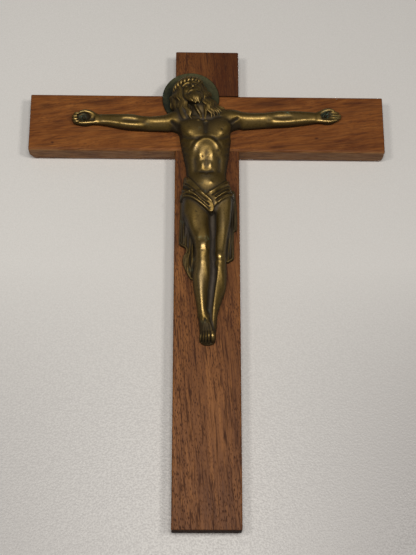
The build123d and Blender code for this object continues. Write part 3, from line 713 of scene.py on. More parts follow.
def head_axes():
    cl, sl = np.cos(LEAN), np.sin(LEAN)
    u = np.array([cl, 0, sl])
    v = np.array([0, 1.0, 0])
    w = np.array([-sl, 0, cl])
    v, w = v * np.cos(PITCH) + w * np.sin(PITCH), w * np.cos(PITCH) - v * np.sin(PITCH)
    u, v = u * np.cos(YAW) + v * np.sin(YAW), v * np.cos(YAW) - u * np.sin(YAW)
    return u, v, w


def head(c):
    axes = head_axes()

    def P(a, b, e):
        return HEAD_AT + a * axes[0] + b * axes[1] + e * axes[2]

    def line(pts):
        return [P(*p) for p in pts]

    # skull and face
    c.blob(P(0, -0.6, 2.8), (7.3, 8.0, 7.4), 1.5, axes)
    c.blob(P(0, 2.0, -3.6), (5.6, 5.8, 7.0), 2.0, axes)
    c.blob(P(-3.5, 5.2, -2.6), (2.2, 1.9, 2.3), 1.4, axes)
    c.blob(P(3.5, 5.2, -2.6), (2.2, 1.9, 2.3), 1.4, axes)
    c.tube(line([(-4.9, 5.7, 1.6), (-2.6, 7.0, 2.1), (0, 7.2, 1.9), (2.6, 7.0, 2.1), (4.9, 5.7, 1.6)]), [0.7, 0.9, 0.9, 0.9, 0.7], 1.0)
    for s in (-1, 1):
        c.hollow(P(s * 2.75, 8.5, 0.2), (1.6, 1.6, 1.05), 0.7, axes)
        c.blob(P(s * 2.75, 6.1, 0.1), (1.35, 1.1, 0.9), 0.25, axes)
        c.groove(line([(s * 1.5, 7.1, -0.35), (s * 2.75, 7.35, -0.55), (s * 4.0, 6.9, -0.25)]), 0.2, 0.15)
    # nose
    c.tube(line([(0, 7.1, 1.6), (0, 8.2, -0.8), (0, 9.2, -3.0)]), [0.75, 0.8, 1.0], 0.8)
    for s in (-1, 1):
        c.blob(P(s * 0.95, 8.1, -3.2), (0.7, 0.8, 0.65), 0.4, axes)
    # lips, moustache and beard
    c.tube(line([(-1.8, 7.1, -5.3), (0, 7.8, -5.5), (1.8, 7.1, -5.3)]), [0.4, 0.6, 0.4], 0.3)
    c.tube(line([(-1.5, 7.0, -6.1), (0, 7.6, -6.3), (1.5, 7.0, -6.1)]), [0.4, 0.65, 0.4], 0.3)
    c.blob(P(0, 5.2, -8.7), (4.2, 3.5, 3.4), 1.2, axes)
    for s in (-1, 1):
        c.tube(line([(s * 0.4, 8.1, -4.75), (s * 1.7, 7.7, -4.65), (s * 2.9, 7.0, -4.8), (s * 3.7, 6.2, -5.3)]), [0.42, 0.52, 0.44, 0.28], 0.5)
        c.tube(line([(s * 4.9, 4.0, -3.2), (s * 4.7, 4.4, -6.8), (s * 3.4, 5.4, -10.0)]), [1.1, 1.4, 1.2], 0.8)
        jaw = np.array([(4.8, 4.4, -4.6), (4.3, 5.8, -8.0), (2.8, 6.2, -11.0), (1.2, 5.4, -13.2)])
        chin = np.array([(0.35, 7.8, -7.3), (0.55, 8.4, -9.2), (0.5, 8.0, -11.2), (0.35, 6.6, -13.4)])
        for i in range(6):
            q = i / 5.0
            lock = chin + (jaw - chin) * q
            lock[:, 1] += np.array([0.2, 0.5, 0.4, 0.2]) * 4 * q * (1 - q)
            lock[1:3, 0] += 0.28 * np.array([np.sin(2.3 * i + s), -np.sin(2.3 * i + s)])
            lock[3, 2] += 0.5 * np.sin(1.7 * i + 2 * s)
            lock[:, 0] *= s
            c.tube(line(lock), [0.42, 0.62, 0.58, 0.28], 0.12)

    # hair: a cap, strands over it, then locks from under the crown to the shoulders
    c.blob(P(0, -1.6, 3.4), (8.4, 8.0, 7.6), 0.8, axes)
    for k in range(-8, 9):
        a = k / 8.0 * 1.45
        top = (1.0 * np.sin(a), -1.6 + 2.0, 11.0)
        c.tube(
            line([top, (5.2 * np.sin(a), -1.6 + 5.6 * np.cos(a) + 0.6, 9.2), (8.3 * np.sin(a), -1.6 + 8.1 * np.cos(a), 5.6)]),
            [0.45, 0.75, 0.8],
            0.25,
            n=5,
        )
    # masses of hair at both sides, then long waving locks laid over them
    c.tube([(-17.6, 6.0, -10.5), (-18.9, 5.8, -18.0), (-17.4, 6.4, -25.0), (-14.0, 8.6, -31.5)], [3.6, 3.7, 3.3, 1.8], 1.2)
    c.tube([(-3.2, 6.4, -11.5), (-1.0, 6.2, -17.6), (2.8, 7.0, -23.6), (7.2, 8.4, -28.6)], [3.3, 3.3, 2.8, 1.4], 1.2)
    c.tube([(-17.0, 9.6, -22.0), (-16.0, 10.2, -27.6), (-14.2, 10.4, -32.4), (-12.4, 10.2, -33.8)], [1.5, 1.9, 1.9, 1.1], 0.3)
    c.tube([(-13.2, 8.2, -20.0), (-12.0, 9.0, -25.0), (-11.6, 9.4, -29.5)], [2.0, 1.9, 1.3], 0.8)
    rng = np.random.default_rng(7)
    sides = (
        # first and last angle on the head, then the inner and outer line of the mass, locks
        (-46, -116, [(-15.6, 12.6, -18.8), (-13.0, 12.2, -24.6), (-11.0, 12.6, -30.2), (-10.2, 13.0, -34.8)], [(-22.8, 3.8, -15.6), (-22.0, 3.8, -21.2), (-19.6, 4.8, -26.2), (-17.2, 6.4, -30.4)], 11),
        (44, 112, [(-4.2, 12.6, -17.0), (-2.2, 12.2, -22.0), (0.6, 12.4, -27.4), (3.4, 12.6, -33.2)], [(0.8, 4.4, -12.2), (2.6, 4.6, -17.0), (6.6, 6.6, -21.6), (11.2, 9.0, -26.2)], 10),
    )
    for a0, a1, inner, outer, count in sides:
        inner, outer = np.array(inner), np.array(outer)
        for i in range(count):
            q = i / (count - 1)
            a = np.radians(a0 + (a1 - a0) * q)
            first = P(8.3 * np.sin(a), 8.2 * np.cos(a) - 1.5, 3.6)
            then = inner + (outer - inner) * q
            then[:, 1] += np.array([2.0, 2.0, 1.4, 0.6]) * 4 * q * (1 - q)
            then[-1] += rng.uniform(-1, 1, 3) * np.array([0.5, 0.2, 1.1]) + np.array([0.0, -1.3, 0.0])
            path = curve(np.vstack([first[None], then]), 9)
            s = np.linspace(0, 1, len(path))
            length = np.linalg.norm(np.diff(path, axis=0), axis=1).sum()
            ph = 1.7 * q + rng.uniform(-0.5, 0.5)
            turn = s * length / 7.5 * 2 * np.pi + ph
            amount = 0.60 * np.clip(s * 4 - 0.3, 0, 1)
            path = path + (np.sin(turn) * amount)[:, None] * np.array([0.95, 0.25, 0.25])
            r = 1.12 - 0.12 * rng.uniform()
            radii = r * (1 - 0.62 * np.clip((s - 0.55) / 0.45, 0, 1) ** 1.4)
            c.tube(path[::2], radii[::2], 0.05, n=2)
            # finer strands twisted round each lock
            for k in range(2):
                w = turn * 0.45 + ph + np.pi * k
                side = path + (np.cos(w) * radii * 0.62)[:, None] * np.array([1.0, 0.1, 0.3])
                side[:, 1] += radii * (0.62 + 0.2 * np.sin(w))
                c.tube(side[::2], radii[::2] * 0.38, 0.05, n=2)

    # twisted crown round the brow
    t = np.linspace(0, 2 * np.pi, 145)
    for ph in (0.0, np.pi):
        tw = 11 * t + ph
        ring = np.stack(
            [
                (8.4 + 1.05 * np.cos(tw)) * np.sin(t),
                (8.5 + 1.05 * np.cos(tw)) * np.cos(t) - 1.4,
                4.7 + 1.25 * np.sin(tw),
            ],
            1,
        )
        c.tube([P(*q) for q in ring], 0.95, 0.05, n=1)
    for a in np.radians([-150, -122, -96, -72, -50, -27, -6, 16, 38, 60, 84, 110, 138]):
        base = np.array([9.3 * np.sin(a), 9.4 * np.cos(a) - 1.4, 4.7 + 0.8 * np.cos(5 * a)])
        tip = base + np.array([1.3 * np.sin(a + 0.6), 1.1 * np.cos(a + 0.6), 1.2 * np.cos(7 * a)])
        c.tube([P(*base), P(*tip)], [0.5, 0.18], 0.15, n=2)


def box_blur(a, r):
    """Three passes of a running mean along each axis: close to a Gaussian."""
    for _ in range(2):
        for ax in range(3):
            pad = [(0, 0)] * 3
            pad[ax] = (r + 1, r)
            s = np.cumsum(np.pad(a, pad, mode="edge"), axis=ax, dtype=np.float32)
            n = a.shape[ax]
            hi = np.take(s, np.arange(2 * r + 1, 2 * r + 1 + n), axis=ax)
            lo = np.take(s, np.arange(0, n), axis=ax)
            a = (hi - lo) / (2 * r + 1)
    return a


def sample(c, a, pts):
    """Trilinear samples of the field a at points in millimetres."""
    g = (pts - c.lo) / c.h
    g = np.clip(g, 0, np.array(a.shape) - 1.001)
    i = g.astype(int)
    t = (g - i).astype(np.float32)
    out = 0
    for dx in (0, 1):
        for dy in (0, 1):
            for dz in (0, 1):
                w = (
                    (t[:, 0] if dx else 1 - t[:, 0])
                    * (t[:, 1] if dy else 1 - t[:, 1])
                    * (t[:, 2] if dz else 1 - t[:, 2])
                )
                out = out + w * a[i[:, 0] + dx, i[:, 1] + dy, i[:, 2] + dz]
    return out


# places that hands have rubbed bright (+) or left dark (-), which also paint highlights on crests and shade on sides,
# hollows, armpits and palms: x, z, half width, half height, how much
RUBBED_AND_PAINTED_LIGHT = [
    (-1.0, -53.0, 6.2, 5.2, 0.35),
    (-1.0, -51.2, 4.0, 3.8, -0.55),
    (-7.6, -55.2, 2.2, 4.0, 0.85),
    (5.8, -53.2, 2.2, 3.2, 0.55),
    (-4.4, -59.0, 2.0, 3.0, 0.45),
    (2.6, -59.6, 2.2, 3.2, 0.45),
    (-0.4, -64.6, 4.4, 4.0, 0.78),
    (-0.4, -76.2, 6.4, 5.2, 0.55),
    (-2.0, -36.0, 16.0, 5.0, -0.60),
    (-1.0, -43.0, 4.2, 3.6, -0.45),
    (-11.4, -43.6, 3.0, 2.2, 0.32),
    (7.7, -44.0, 3.2, 2.0, 0.22),
    (-8.4, -63.5, 3.0, 6.5, -0.42),
    (7.4, -63.5, 3.2, 6.5, -0.42),
    (-1.0, -69.4, 4.0, 1.3, -0.50),
    (-0.5, -72.6, 5.0, 2.0, 0.62),
    (-11.6, -76.0, 3.0, 3.0, 0.52),
    (10.6, -77.4, 3.0, 3.0, 0.52),
    (-12.0, -62.0, 4.5, 12.0, -0.25),
    (11.5, -62.0, 4.5, 12.0, -0.25),
    (-20.0, -39.0, 4.5, 2.2, -0.20),
    (18.0, -37.2, 4.5, 2.2, -0.20),
    (-29.0, -34.6, 9.0, 2.4, 0.36),
    (28.0, -31.8, 11.0, 2.4, 0.32),
    (-48.0, -35.4, 12.0, 2.4, 0.30),
    (-48.6, -30.4, 5.5, 1.8, 0.30),
    (50.0, -32.4, 14.0, 2.4, 0.28),
    (-68.0, -33.0, 10.0, 1.6, 0.45),
    (72.0, -30.3, 10.0, 1.6, 0.45),
    (-76.8, -29.4, 3.8, 2.3, -1.30),
    (74.6, -26.4, 3.2, 2.0, -1.20),
    (-5.0, -102.0, 5.5, 15.0, 0.20),
    (8.9, -102.0, 3.8, 18.0, 0.65),
    (-2.8, -118.2, 2.4, 3.4, 0.50),
    (-4.2, -138.0, 3.2, 17.0, 0.95),
    (6.8, -124.6, 2.2, 2.6, 0.45),
    (5.4, -140.0, 2.4, 15.0, -0.30),
    (6.0, -129.0, 2.2, 2.2, -0.45),
    (-1.0, -167.0, 6.0, 4.8, -1.20),
    (-3.6, -170.0, 2.6, 4.0, -0.40),
    (0.0, -176.4, 7.0, 2.4, -1.00),
    (1.6, -171.8, 4.0, 1.2, 0.50),
    (0.0, -86.0, 18.0, 7.0, 0.14),
    (-45.0, -31.4, 28.0, 4.4, 0.24),
    (45.0, -28.8, 28.0, 4.4, 0.22),
    (-16.0, -108.0, 4.0, 26.0, -0.70),
    (17.0, -106.0, 4.0, 26.0, -0.70),
    (3.2, -126.0, 1.9, 36.0, -0.55),
    (-17.0, -24.0, 7.0, 12.0, -0.40),
    (4.0, -24.0, 6.0, 8.0, -0.35),
    (4.5, -30.0, 4.0, 2.5, -0.50),
    (15.5, -31.6, 3.5, 2.5, -0.25),
    (-21.5, -32.6, 3.5, 2.5, -0.20),
    (-4.4, -28.6, 4.0, 3.4, 0.90),
    (-14.8, -30.0, 2.6, 4.0, -0.60),
    (-22.2, -34.7, 1.4, 1.1, -0.50),
    (-20.2, -36.2, 1.4, 1.2, -0.60),
    (-18.2, -38.2, 1.4, 1.4, -0.60),
    (18.4, -32.2, 1.4, 1.1, -0.50),
    (15.8, -33.7, 1.4, 1.2, -0.60),
    (13.4, -35.6, 1.4, 1.4, -0.60),
    (-39.2, -34.6, 2.4, 2.2, -1.15),
    (38.6, -32.2, 2.2, 1.9, -1.00),
    (-54.6, -34.7, 0.8, 1.2, -0.80),
    (-67.6, -32.9, 0.8, 1.2, -0.80),
    (55.2, -31.8, 0.8, 1.2, -0.70),
    (68.4, -30.3, 0.9, 1.2, -0.70),
    (-7.8, -20.6, 3.6, 2.8, -0.55),
    (-12.4, -78.2, 1.8, 1.6, -0.80),
]

# places with green bloom: x, z, half size, how much
GREEN = [
    (-0.4, -114.0, 1.7, 0.7),
    (-4.4, -113.8, 1.2, 0.5),
    (49.9, -26.8, 1.3, 1.0),
    (74.4, -26.4, 2.4, 0.9),
    (-78.2, -29.2, 2.2, 0.6),
    (-66.5, -28.0, 1.3, 0.6),
    (80.8, -27.2, 1.5, 0.5),
]


# grey patches laid in hollows: x, z, half width, half height, how much
GREY_PATCHES = [
    (3.4, -128.0, 2.4, 34.0, 0.9),
    (-12.8, -108.0, 2.2, 8.0, 0.7),
    (14.0, -112.0, 2.0, 9.0, 0.4),
    (-14.4, -30.0, 3.2, 4.0, 0.4),
    (-2.4, -32.5, 5.0, 2.0, 0.6),
    (-14.6, -90.0, 1.2, 6.5, 0.8),
    (-12.4, -100.0, 1.3, 5.0, 0.7),
    (16.6, -90.0, 1.0, 7.0, 0.6),
]


def make_mesh(c, name):
    band = 4 * c.h
    grid = openvdb.FloatGrid(band)
    grid.copyFromArray(np.clip(c.f, -band, band))
    grid.transform = openvdb.createLinearTransform(voxelSize=1.0)
    pts, tris, quads = grid.convertToPolygons(0.0, 0.025)
    pts = np.asarray(pts, np.float64) * c.h + c.lo
    tris = np.asarray(tris, np.int64).reshape(-1, 3)
    quads = np.vstack([np.asarray(quads, np.int64), np.hstack([tris, tris[:, :1]])])
    # keep the largest connected piece
    parent = np.arange(len(pts))
    while True:
        low = np.repeat(parent[quads].min(1), 4)
        new = parent.copy()
        np.minimum.at(new, parent[quads].ravel(), low)
        np.minimum.at(new, quads.ravel(), low)
        while (new[new] != new).any():
            new = new[new]
        if (new == parent).all():
            break
        parent = new
    roots, counts = np.unique(parent, return_counts=True)
    print("pieces", len(roots), counts[:6])
    keep = parent == roots[counts.argmax()]
    quads = quads[keep[quads].all(1)]
    index = np.cumsum(keep) - 1
    pts, quads = pts[keep], index[quads]

    occ = np.clip(0.5 - c.f / (2 * c.h), 0, 1).astype(np.float32)
    fine = sample(c, box_blur(occ, 2), pts)
    wide = sample(c, box_blur(occ, 7), pts)

    # rubbing, which also paints highlights and shade into the colour
    rub_and_painted_light = np.zeros(len(pts))
    for x, z, rx, rz, much in RUBBED_AND_PAINTED_LIGHT:
        rub_and_painted_light += much * np.exp(-(((pts[:, 0] - x) / rx) ** 2) - ((pts[:, 2] - z) / rz) ** 2)
    for x, z, rx, rz, _, dark in PITS:
        rub_and_painted_light -= dark * np.exp(-(((pts[:, 0] - x) / rx) ** 2) - ((pts[:, 2] - z) / rz) ** 2)
    rub_and_painted_light += -0.95 * np.clip((5.2 - pts[:, 1]) / 4.2, 0, 1)  # darker low down, near the wood: painted shade

    bloom = np.zeros(len(pts))
    for x, z, r, much in GREEN:
        bloom += much * np.exp(-(((pts[:, 0] - x) / r) ** 2) - ((pts[:, 2] - z) / r) ** 2)

    grey_patch = np.zeros(len(pts))
    for x, z, rx, rz, much in GREY_PATCHES:
        grey_patch += much * np.exp(-(((pts[:, 0] - x) / rx) ** 2) - ((pts[:, 2] - z) / rz) ** 4)
    grey_patch *= np.clip((fine * 0.4 + wide * 0.6 - 0.44) / 0.06, 0, 1)

    # the field's slope gives smooth normals
    normal = np.zeros_like(pts)
    for i in range(3):
        e = np.zeros(3)
        e[i] = 0.7 * c.h
        normal[:, i] = sample(c, c.f, pts + e) - sample(c, c.f, pts - e)
    normal /= np.maximum(np.linalg.norm(normal, axis=1), 1e-9)[:, None]
    normal[:, 1] *= -1

    # painted shade: the sides turned away from the front are darkened, what looks outwards is left bright
    rub_and_painted_light -= 0.85 * np.clip((0.78 + normal[:, 1]) / 0.5, 0, 1)

    world = np.stack([pts[:, 0], FRONT - pts[:, 1], pts[:, 2]], 1) * MM
    me = bpy.data.meshes.new(name)
    faces = [q[:3] if q[3] == q[0] else q for q in quads.tolist()]
    me.from_pydata(world.tolist(), [], [q[::-1] for q in faces])
    me.validate()
    me.polygons.foreach_set("use_smooth", np.ones(len(me.polygons), bool))
    me.normals_split_custom_set_from_vertices(normal.tolist())
    for key, val in (("fine", fine), ("wide", wide), ("rub_and_painted_light", rub_and_painted_light), ("bloom", bloom), ("grey_patch", grey_patch)):
        at = me.attributes.new(key, "FLOAT", "POINT")
        at.data.foreach_set("value", np.asarray(val, np.float32))
    me.update()
    ob = bpy.data.objects.new(name, me)
    bpy.context.scene.collection.objects.link(ob)
    print("corpus mesh", len(pts), "points", len(quads), "faces", sum(len(q) - 2 for q in faces), "triangles, box", pts.min(0), pts.max(0))
    return ob


# =====================================================================
# Materials
# =====================================================================
class Nodes:
    """Short names for building a node tree."""

    def __init__(self, name):
        self.mat = bpy.data.materials.new(name)
        self.mat.use_nodes = True
        self.t = self.mat.node_tree
        self.t.nodes.clear()
        self.out = self.t.nodes.new("ShaderNodeOutputMaterial")

    def new(self, kind, **kw):
        n = self.t.nodes.new("ShaderNode" + kind)
        ins = kw.pop("ins", {})
        for k, v in kw.items():
            setattr(n, k, v)
        for k, v in ins.items():
            self.put(n.inputs[k], v)
        return n

    def put(self, socket, v):
        if hasattr(v, "is_output"):
            self.t.links.new(v, socket)
        else:
            socket.default_value = v

    def ramp(self, fac, stops, interp="LINEAR"):
        n = self.new("ValToRGB")
        n.color_ramp.interpolation = interp
        e = n.color_ramp.elements
        while len(e) < len(stops):
            e.new(0.5)
        for el, (p, col) in zip(e, stops):
            el.position = p
            el.color = (col if len(col) == 4 else (*col, 1.0)) if hasattr(col, "__len__") else (col, col, col, 1)
        self.put(n.inputs["Fac"], fac)
        return n.outputs["Color"]

    def math(self, op, a, b=0.0, clamp=False):
        n = self.new("Math", operation=op, use_clamp=clamp)
        self.put(n.inputs[0], a)
        self.put(n.inputs[1], b)
        return n.outputs[0]

    def mix(self, fac, a, b, blend="MIX"):
        n = self.new("Mix", data_type="RGBA", blend_type=blend)
        self.put(n.inputs[0], fac)
        self.put(n.inputs[6], a)
        self.put(n.inputs[7], b)
        return n.outputs[2]

    def noise(self, vec, scale, detail=3.0, rough=0.55, distort=0.0):
        n = self.new("TexNoise", ins={"Vector": vec, "Scale": scale, "Detail": detail, "Roughness": rough, "Distortion": distort})
        return n.outputs["Fac"]

    def mapping(self, vec, scale=(1, 1, 1), rot=(0, 0, 0), loc=(0, 0, 0)):
        n = self.new("Mapping", ins={"Vector": vec, "Scale": scale, "Rotation": rot, "Location": loc})
        return n.outputs[0]

    def span(self, v, a, b, c=0.0, d=1.0):
        n = self.new("MapRange", ins={"Value": v, "From Min": a, "From Max": b, "To Min": c, "To Max": d})
        n.clamp = True
        return n.outputs[0]


def wood(name, along, tilt, seed, pore_mix, streak_mix, tones, figure_mix=0.0, spots=(), heartwood_and_shade=None):
    """Oiled hardwood, its grain along one axis; tilt leans the pores, in radians."""
    n = Nodes(name)
    obj = n.new("TexCoord").outputs["Object"]
    base = n.mapping(obj, rot=(0, tilt, 0), loc=(seed, seed * 0.37, seed * 0.71))

    def grain(across, length, vec=base):
        s = [across, across, across]
        s["XYZ".index(along)] = length
        return n.mapping(vec, scale=tuple(s))

    broad = n.noise(grain(60, 6), 1.0, 3.0, 0.5, 0.8)
    bands = n.noise(grain(260, 10), 1.0, 3.0, 0.55, 0.8)
    streak = n.noise(grain(800, 40), 1.0, 2.0, 0.5)
    fleck = n.noise(grain(1700, 130), 1.0, 2.0, 0.6)
    tone = n.math("ADD", n.math("MULTIPLY", broad, 0.55), n.math("MULTIPLY", bands, 0.45))
    # interlocked grain: wavy streaks that lean across the board
    lean = n.mapping(obj, rot=(0, tilt + np.radians(9.0), 0), loc=(seed * 0.6, seed, seed * 0.2))
    figure = n.noise(grain(230, 26, lean), 1.0, 4.0, 0.62, 1.6)
    mottle = n.noise(obj, 75.0, 3.0, 0.55)
    figure = n.math("ADD", n.math("MULTIPLY", figure, 0.65), n.math("MULTIPLY", mottle, 0.35))
    tone = n.math("ADD", n.math("MULTIPLY", tone, 1.0 - figure_mix), n.math("MULTIPLY", figure, figure_mix))
    col = n.ramp(tone, list(zip((0.36, 0.455, 0.54, 0.64), tones)))
    dark_streak = n.span(streak, 0.48, 0.70)
    col = n.mix(n.math("MULTIPLY", dark_streak, streak_mix), col, (0.040, 0.0100, 0.0030, 1), "MIX")
    light_fleck = n.span(fleck, 0.50, 0.74)
    col = n.mix(n.math("MULTIPLY", light_fleck, 0.28), col, (0.280, 0.112, 0.026, 1), "MIX")
    # pores: thin broken lines, and short dots where the boards are cut steeply
    vein = n.noise(grain(620, 24), 1.0, 2.0, 0.5, 0.3)
    lines = n.span(n.math("ABSOLUTE", n.math("SUBTRACT", vein, 0.5)), 0.010, 0.060, 1.0, 0.0)
    lines = n.math("MULTIPLY", lines, n.span(n.noise(grain(1000, 90), 1.0, 1.0, 0.5), 0.42, 0.56))
    dots = n.span(n.noise(grain(1750, 430), 1.0, 1.0, 0.5), 0.54, 0.66)
    patch = n.span(n.noise(grain(90, 22), 1.0, 2.0, 0.5), 0.40, 0.58)
    if along == "Z":  # cut more steeply towards one edge
        patch = n.math("MAXIMUM", patch, n.span(n.new("SeparateXYZ", ins={0: obj}).outputs["X"], 0.002, -0.012))
    dots = n.math("MULTIPLY", dots, n.math("ADD", n.math("MULTIPLY", patch, 0.65), 0.35))
    pores = n.math("MAXIMUM", lines, dots)
    col = n.mix(n.math("MULTIPLY", pores, pore_mix), col, (0.020, 0.0065, 0.0035, 1), "MIX")
    # small knots and stained places: (x, z, half width, half height, strength)
    for x, z, rx, rz, much in spots:
        at = n.mapping(obj, loc=(-x / rx, 0, -z / rz), scale=(1 / (rx * MM), 0, 1 / (rz * MM)))
        away = n.new("VectorMath", operation="LENGTH", ins={0: at}).outputs["Value"]
        near = n.math("MULTIPLY", n.span(n.math("ADD", away, n.math("MULTIPLY", bands, 0.8)), 0.7, 1.6, 1.0, 0.0), much)
        col = n.mix(near, col, (0.030, 0.0085, 0.0030, 1), "MIX")
    # dark heartwood tone over a zone, which also paints shade, darker to the right and towards the top of the upright:
    # ((x low, x high), (z low, z high), strength)
    if heartwood_and_shade:
        place = n.new("SeparateXYZ", ins={0: obj})
        much = n.math("MULTIPLY", n.span(place.outputs["X"], *heartwood_and_shade[0]), n.span(place.outputs["Z"], *heartwood_and_shade[1]))
        much = n.math("MULTIPLY", n.math("MULTIPLY", much, n.span(bands, 0.30, 0.60, 0.55, 1.0)), heartwood_and_shade[2])
        col = n.mix(much, col, (0.040, 0.0088, 0.0026, 1), "MIX")
    # end grain drinks more finish and is darker
    geo = n.new("NewGeometry")
    sep = n.new("SeparateXYZ", ins={0: geo.outputs["Normal"]})
    end = n.span(n.math("ABSOLUTE", sep.outputs["XYZ".index(along)]), 0.55, 0.9)
    col = n.mix(n.math("MULTIPLY", end, 0.85), col, (0.0165, 0.0066, 0.0036, 1), "MIX")
    if along == "X":  # the faces turned downwards are painted paler and greyer: painted light thrown up from the sheet
        painted_bounce_down = n.span(sep.outputs["Z"], -0.5, -0.9)
        col = n.mix(n.math("MULTIPLY", painted_bounce_down, n.span(streak, 0.40, 0.62, 0.55, 0.15)), col, (0.270, 0.150, 0.064, 1), "MIX")
    rough = n.math("ADD", n.math("MULTIPLY", fleck, 0.14), n.math("MULTIPLY", pores, 0.20))
    rough = n.math("ADD", rough, n.math("ADD", n.math("MULTIPLY", end, 0.3), 0.42))
    height = n.math("SUBTRACT", n.math("MULTIPLY", streak, 0.35), n.math("MULTIPLY", pores, 0.8))
    bump = n.new("Bump", ins={"Strength": 0.22, "Distance": 0.0003, "Height": height})
    b = n.new("BsdfPrincipled", ins={"Base Color": col, "Roughness": rough, "Normal": bump.outputs[0]})
    b.inputs["IOR"].default_value = 1.45
    b.inputs["Specular IOR Level"].default_value = 0.16
    n.t.links.new(b.outputs[0], n.out.inputs[0])
    return n.mat


